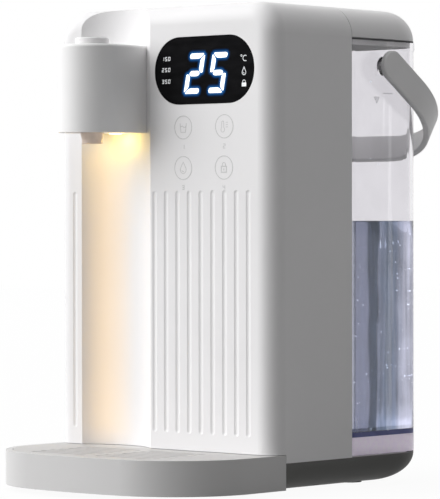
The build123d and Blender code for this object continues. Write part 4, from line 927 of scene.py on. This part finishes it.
for long_x, long_y in ((ARM_LONG, ARM_WIDE), (ARM_WIDE, ARM_LONG)):
    box_size = start.node("ShaderNodeCombineXYZ", None,
                          {"X": radius * long_x, "Y": radius * long_y, "Z": height * ARM_DEEP})
    arm = start.node("GeometryNodeMeshCube", None, {"Size": box_size})
    arms.append(arm.node("GeometryNodeTransform", None, {
        "Geometry": arm, "Translation": start.node("ShaderNodeCombineXYZ", None, {"Z": height})}))
head = disc_up.node("GeometryNodeMeshBoolean", {"operation": "UNION"}, {"Mesh 2": [disc_up, crown_up]})
cut = head.node("GeometryNodeMeshBoolean", {"operation": "DIFFERENCE"}, {"Mesh 1": head, "Mesh 2": arms})
shank = start.node("GeometryNodeMeshCylinder", None, {
    "Vertices": 16, "Radius": wires["Shank Radius"], "Depth": wires["Shank Length"]})
shank_down = shank.node("GeometryNodeTransform", None, {
    "Geometry": shank,
    "Translation": start.node("ShaderNodeCombineXYZ", None, {"Z": -0.5 * wires["Shank Length"]})})
screw = cut.node("GeometryNodeJoinGeometry", None, {"Geometry": [cut, shank_down]})
turned = screw.node("GeometryNodeTransform", None, {"Geometry": screw, "Rotation": wires["Turn"]})
screws = start.node("GeometryNodeInstanceOnPoints", None, {"Points": start, "Instance": turned})
close_tree(screw_tree, end, screws, wires["Finish"])
print("screw tree with", len(screw_tree.nodes), "nodes")

# %% Screws in place
HEIGHT_PER_RADIUS, SHANK_PER_HEAD = 0.62, 0.45
for name, axis, head_first, turn in (("base_screws", 2, True, (math.pi, 0, 0.4)),
                                     ("deck_screws", 2, False, (0, 0, 0.7)),
                                     ("back_screws", 1, False, (-math.pi / 2, 0, 0))):
    islands = screw_islands(name)
    low, high = islands[0]
    across = [k for k in range(3) if k != axis][0]
    head_radius = (high[across] - low[across]) / 2
    length = high[axis] - low[axis]
    head_height = HEIGHT_PER_RADIUS * head_radius
    places = []
    for low, high in islands:
        spot = (low + high) / 2
        spot[axis] = low[axis] + head_height if head_first else high[axis] - head_height
        places.append(spot)
    piece = grow_piece(name + "_cross", points_mesh(name + "_points", places), screw_tree, {
        "Head Radius": head_radius, "Head Height": head_height, "Shank Radius": head_radius * SHANK_PER_HEAD,
        "Shank Length": length - head_height, "Turn": turn, "Finish": plated_steel})
    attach(piece, "base")
    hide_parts(name)
    print(name, len(places), "screws, head radius", round(head_radius / MM, 2), "mm")

# %% [markdown]
# ## Coil springs
# The button and the tank valve each press on a coil spring. The CAD coil is stiff, so at the end of the
# stroke the moving piece would run into it. Each coil is hidden and a copy of it is kept on the body
# that carries it. How much it would have to shorten is worked out but not used, so the copy keeps its
# full length.

# %% Springs
SPARE = 1.02
for name, body, joint_name in (("button_spring", "base", "button_press"),
                               ("valve_spring", "tank", "valve_travel")):
    joint = next(j for j in frame["joints"] if j["name"] == joint_name)
    low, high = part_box(name)
    coil = keep_mesh(name + "_coil", merged_copy(name), plated_steel, body)
    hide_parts(name)
    1 - SPARE * joint["range_m"][1] / (high.z - low.z)
    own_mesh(coil)

# %% [markdown]
# ## Level mark on the tank
# A fine raised line on the side of the tank shows how far to fill it, with a small arrow under it. It is
# frosted and nearly clear, so it is seen only faintly against what lies behind.

# %% Level mark
mark_clear, shader, place = start_finish("mark_clear", {"Specular IOR Level": 0.3})
frost = cloud(place, 0.8, 2.0)
feed(shader, "Base Color", tinted(frost, (0.40, 0.39, 0.43), (0.52, 0.51, 0.55)))
feed(shader, "Roughness", 0.35 + 0.2 * frost)
feed(shader, "Alpha", 0.12 + 0.14 * frost)


def side_plate(bm, outline, x, thick):
    """A flat plate on the right wall of the tank, outline in Y and Z."""
    close_plate(bm, [(x + thick, y, z) for y, z in outline], [(x, y, z) for y, z in outline])


MARK_THICK = 0.3 * MM
LINE_BACK, LINE_FRONT, LINE_LOW, LINE_HIGH = 66.0 * MM, 56.5 * MM, 246.6 * MM, 247.3 * MM
mark_line = [(LINE_FRONT, LINE_LOW), (LINE_BACK, LINE_LOW), (LINE_BACK, LINE_HIGH), (LINE_FRONT, LINE_HIGH)]
mark_arrow = [(50.0 * MM, 240.0 * MM), (53.0 * MM, 244.6 * MM), (47.0 * MM, 244.6 * MM)]
bm = bmesh.new()
side_plate(bm, rounded(mark_line, 0.3 * MM), tank_high.x, MARK_THICK)
side_plate(bm, rounded(mark_arrow, 0.5 * MM), tank_high.x, MARK_THICK)
level_mark = keep_mesh("level_mark", bm, mark_clear, "tank")

# %% [markdown]
# ## Light through the clear pieces
# A lamp's rays would stop at the outside of a refracting solid and leave the tank dark inside. The clear
# pieces are told not to cast shadows, so the lamps reach the handle and the back plate behind them.

# %% Clear pieces cast no shadow
for piece in (nodes["tank_wall"], tank_water, bubbles, droplets, level_mark):
    piece.visible_shadow = False
print("clear pieces let light through: tank wall, water, bubbles, droplets, level mark")

# %% [markdown]
# ## Floor and world
# The dispenser stands on white in plain studio light. The sky and floor are white to the camera, and to
# what glass and gloss reflect, while they light the object at their plain level. Light Path tells these
# rays apart, in the same way for both. A small share of the floor stays matt to the camera as well, so
# the object's shadow still shows on it.

# %% Rays that see white
SEEN_RAYS = ("Is Camera Ray", "Is Glossy Ray", "Is Transmission Ray")


def seen_white(tree):
    """One for rays from the camera, a gloss or a clear piece, and nought for the rest."""
    path = tree.nodes.new("ShaderNodeLightPath")
    ray, mirrored, through = (Wire(tree, path.outputs[kind]) for kind in SEEN_RAYS)
    return ray.node("ShaderNodeMath", {"operation": "ADD", "use_clamp": True},
                    {0: ray + mirrored, 1: through})


print("white to", len(SEEN_RAYS), "kinds of ray")

# %% Floor
FLOOR_RADIUS, FLOOR_DROP = 6.0, 0.1 * MM
BRIGHT_LEVEL, BRIGHT_SHARE = 1.13, 0.84
floor_white = bpy.data.materials.new("floor_white")
floor_white.use_nodes = True
tree = floor_white.node_tree
tree.nodes.clear()
place = Wire(tree, tree.nodes.new("ShaderNodeTexCoord").outputs["Object"])
paper = tinted(cloud(place, 4000, 2.0), (0.26, 0.26, 0.26), (0.29, 0.29, 0.29))
matt = place.node("ShaderNodeBsdfDiffuse", None, {"Color": paper})
bright = place.node("ShaderNodeEmission", None, {"Color": (1, 1, 1, 1), "Strength": BRIGHT_LEVEL})
mixed = place.node("ShaderNodeMixShader", None, {0: seen_white(tree) * BRIGHT_SHARE, 1: matt, 2: bright})
output = tree.nodes.new("ShaderNodeOutputMaterial")
tree.links.new(mixed.socket, output.inputs["Surface"])

bm = bmesh.new()
bmesh.ops.create_circle(bm, cap_ends=True, segments=96, radius=FLOOR_RADIUS)
floor = link_mesh("floor", bm, floor_white)
floor.data.transform(Matrix.Translation((0, 0, -FLOOR_DROP)))
print("floor radius", FLOOR_RADIUS, "m")

# %% World
SKY = 0.21
world = bpy.data.worlds.new("studio")
scene.world = world
world.use_nodes = True
tree = world.node_tree
tree.nodes.clear()
level = SKY + (1 - SKY) * seen_white(tree)
sky = level.node("ShaderNodeBackground", None, {"Color": (1, 1, 1, 1), "Strength": level})
output = tree.nodes.new("ShaderNodeOutputWorld")
tree.links.new(sky.socket, output.inputs["Surface"])
print("sky level", SKY)

# %% [markdown]
# ## Lamps
# A large soft lamp stands to the left, as a window would, and weak ones stand above and behind. Two tiny
# warm lamps stand for the dome beside the nozzle: a spot at the dome and a wash down the cup bay, kept
# narrow so that it stays in the bay. A thin upright strip behind on the right lights no matt surface:
# it only draws a long highlight on the tank.

# %% Soft lamps
def soft_sun(name, left, up, level, spread):
    """A distant soft lamp, in degrees left of the front and up; level is on a face square to it."""
    lamp = bpy.data.lights.new(name, "SUN")
    lamp.energy = level * math.pi
    lamp.angle = math.radians(spread)
    holder = bpy.data.objects.new(name, lamp)
    scene.collection.objects.link(holder)
    a, e = math.radians(left), math.radians(up)
    source = Vector((-math.sin(a) * math.cos(e), -math.cos(a) * math.cos(e), math.sin(e)))
    holder.rotation_euler = source.to_track_quat("Z", "Y").to_euler()
    holder.visible_glossy = False
    holder.visible_transmission = False
    print(name, "level", level)


soft_sun("window_lamp", left=48, up=26, level=1.08, spread=54)
soft_sun("top_lamp", left=20, up=75, level=0.25, spread=60)
soft_sun("back_lamp", left=165, up=32, level=0.20, spread=60)


# %% Small lamps
def small_lamp(name, kind, energy, tint, place):
    """A small lamp that no picture shows itself, only its light."""
    lamp = bpy.data.lights.new(name, kind)
    lamp.energy = energy
    lamp.color = tint
    holder = bpy.data.objects.new(name, lamp)
    scene.collection.objects.link(holder)
    holder.location = place
    holder.visible_camera = holder.visible_glossy = holder.visible_transmission = False
    print(name, "at", [round(c, 3) for c in place])
    return holder


def make_upright(holder, wide, high, turn):
    """Makes an area lamp an upright rectangle that looks along the ground."""
    holder.data.shape = "RECTANGLE"
    holder.data.size, holder.data.size_y = wide, high
    holder.rotation_euler = (math.pi / 2, 0, math.radians(turn))


bay_spot = small_lamp("bay_spot", "POINT", 0.008, (1.0, 0.70, 0.13),
                      (lamp_middle.x + 1 * MM, lamp_middle.y + 3 * MM, lamp_low.z - 2.5 * MM))
bay_spot.data.shadow_soft_size = 2 * MM
bay_wash = small_lamp("bay_wash", "AREA", 0.0072, (1.0, 0.53, 0.0),
                      (lamp_middle.x + 10 * MM, face_y - 8 * MM, 122 * MM))
make_upright(bay_wash, wide=20 * MM, high=185 * MM, turn=58)
bay_wash.data.spread = math.radians(50)
strip_lamp = small_lamp("strip_lamp", "AREA", 0.008, (1, 1, 1), (335 * MM, 375 * MM, 150 * MM))
make_upright(strip_lamp, wide=2.5 * MM, high=600 * MM, turn=141.4)
strip_lamp.visible_glossy = True
strip_lamp.visible_diffuse = False

# %% [markdown]
# ## Camera
# The camera was fitted to known corners of the housing: it stands about forty degrees to the right of
# the front, almost level with the middle, two metres away with a long lens. Its axes are written out
# from the fitted turn, tilt and roll.

# %% Camera
CAMERA_PLACE = (1.31841, -1.48272, 0.16570)
SENSOR_MM, FOCAL_MM = 36.0, 256.12
turn, tilt, roll = math.radians(41.666), math.radians(0.492), math.radians(-0.0663)
forward = Vector((-math.sin(turn) * math.cos(tilt), math.cos(turn) * math.cos(tilt), -math.sin(tilt)))
level_right = Vector((math.cos(turn), math.sin(turn), 0))
level_up = level_right.cross(forward)
right = math.cos(roll) * level_right + math.sin(roll) * level_up
up = -math.sin(roll) * level_right + math.cos(roll) * level_up
lens = bpy.data.cameras.new("camera")
lens.sensor_fit = "HORIZONTAL"
lens.sensor_width = SENSOR_MM
lens.lens = FOCAL_MM
camera = bpy.data.objects.new("camera", lens)
scene.collection.objects.link(camera)
axes = Matrix((right, up, -forward)).transposed().to_4x4()
camera.matrix_world = Matrix.Translation(CAMERA_PLACE) @ axes
scene.camera = camera
print("camera with a lens of", FOCAL_MM, "mm")
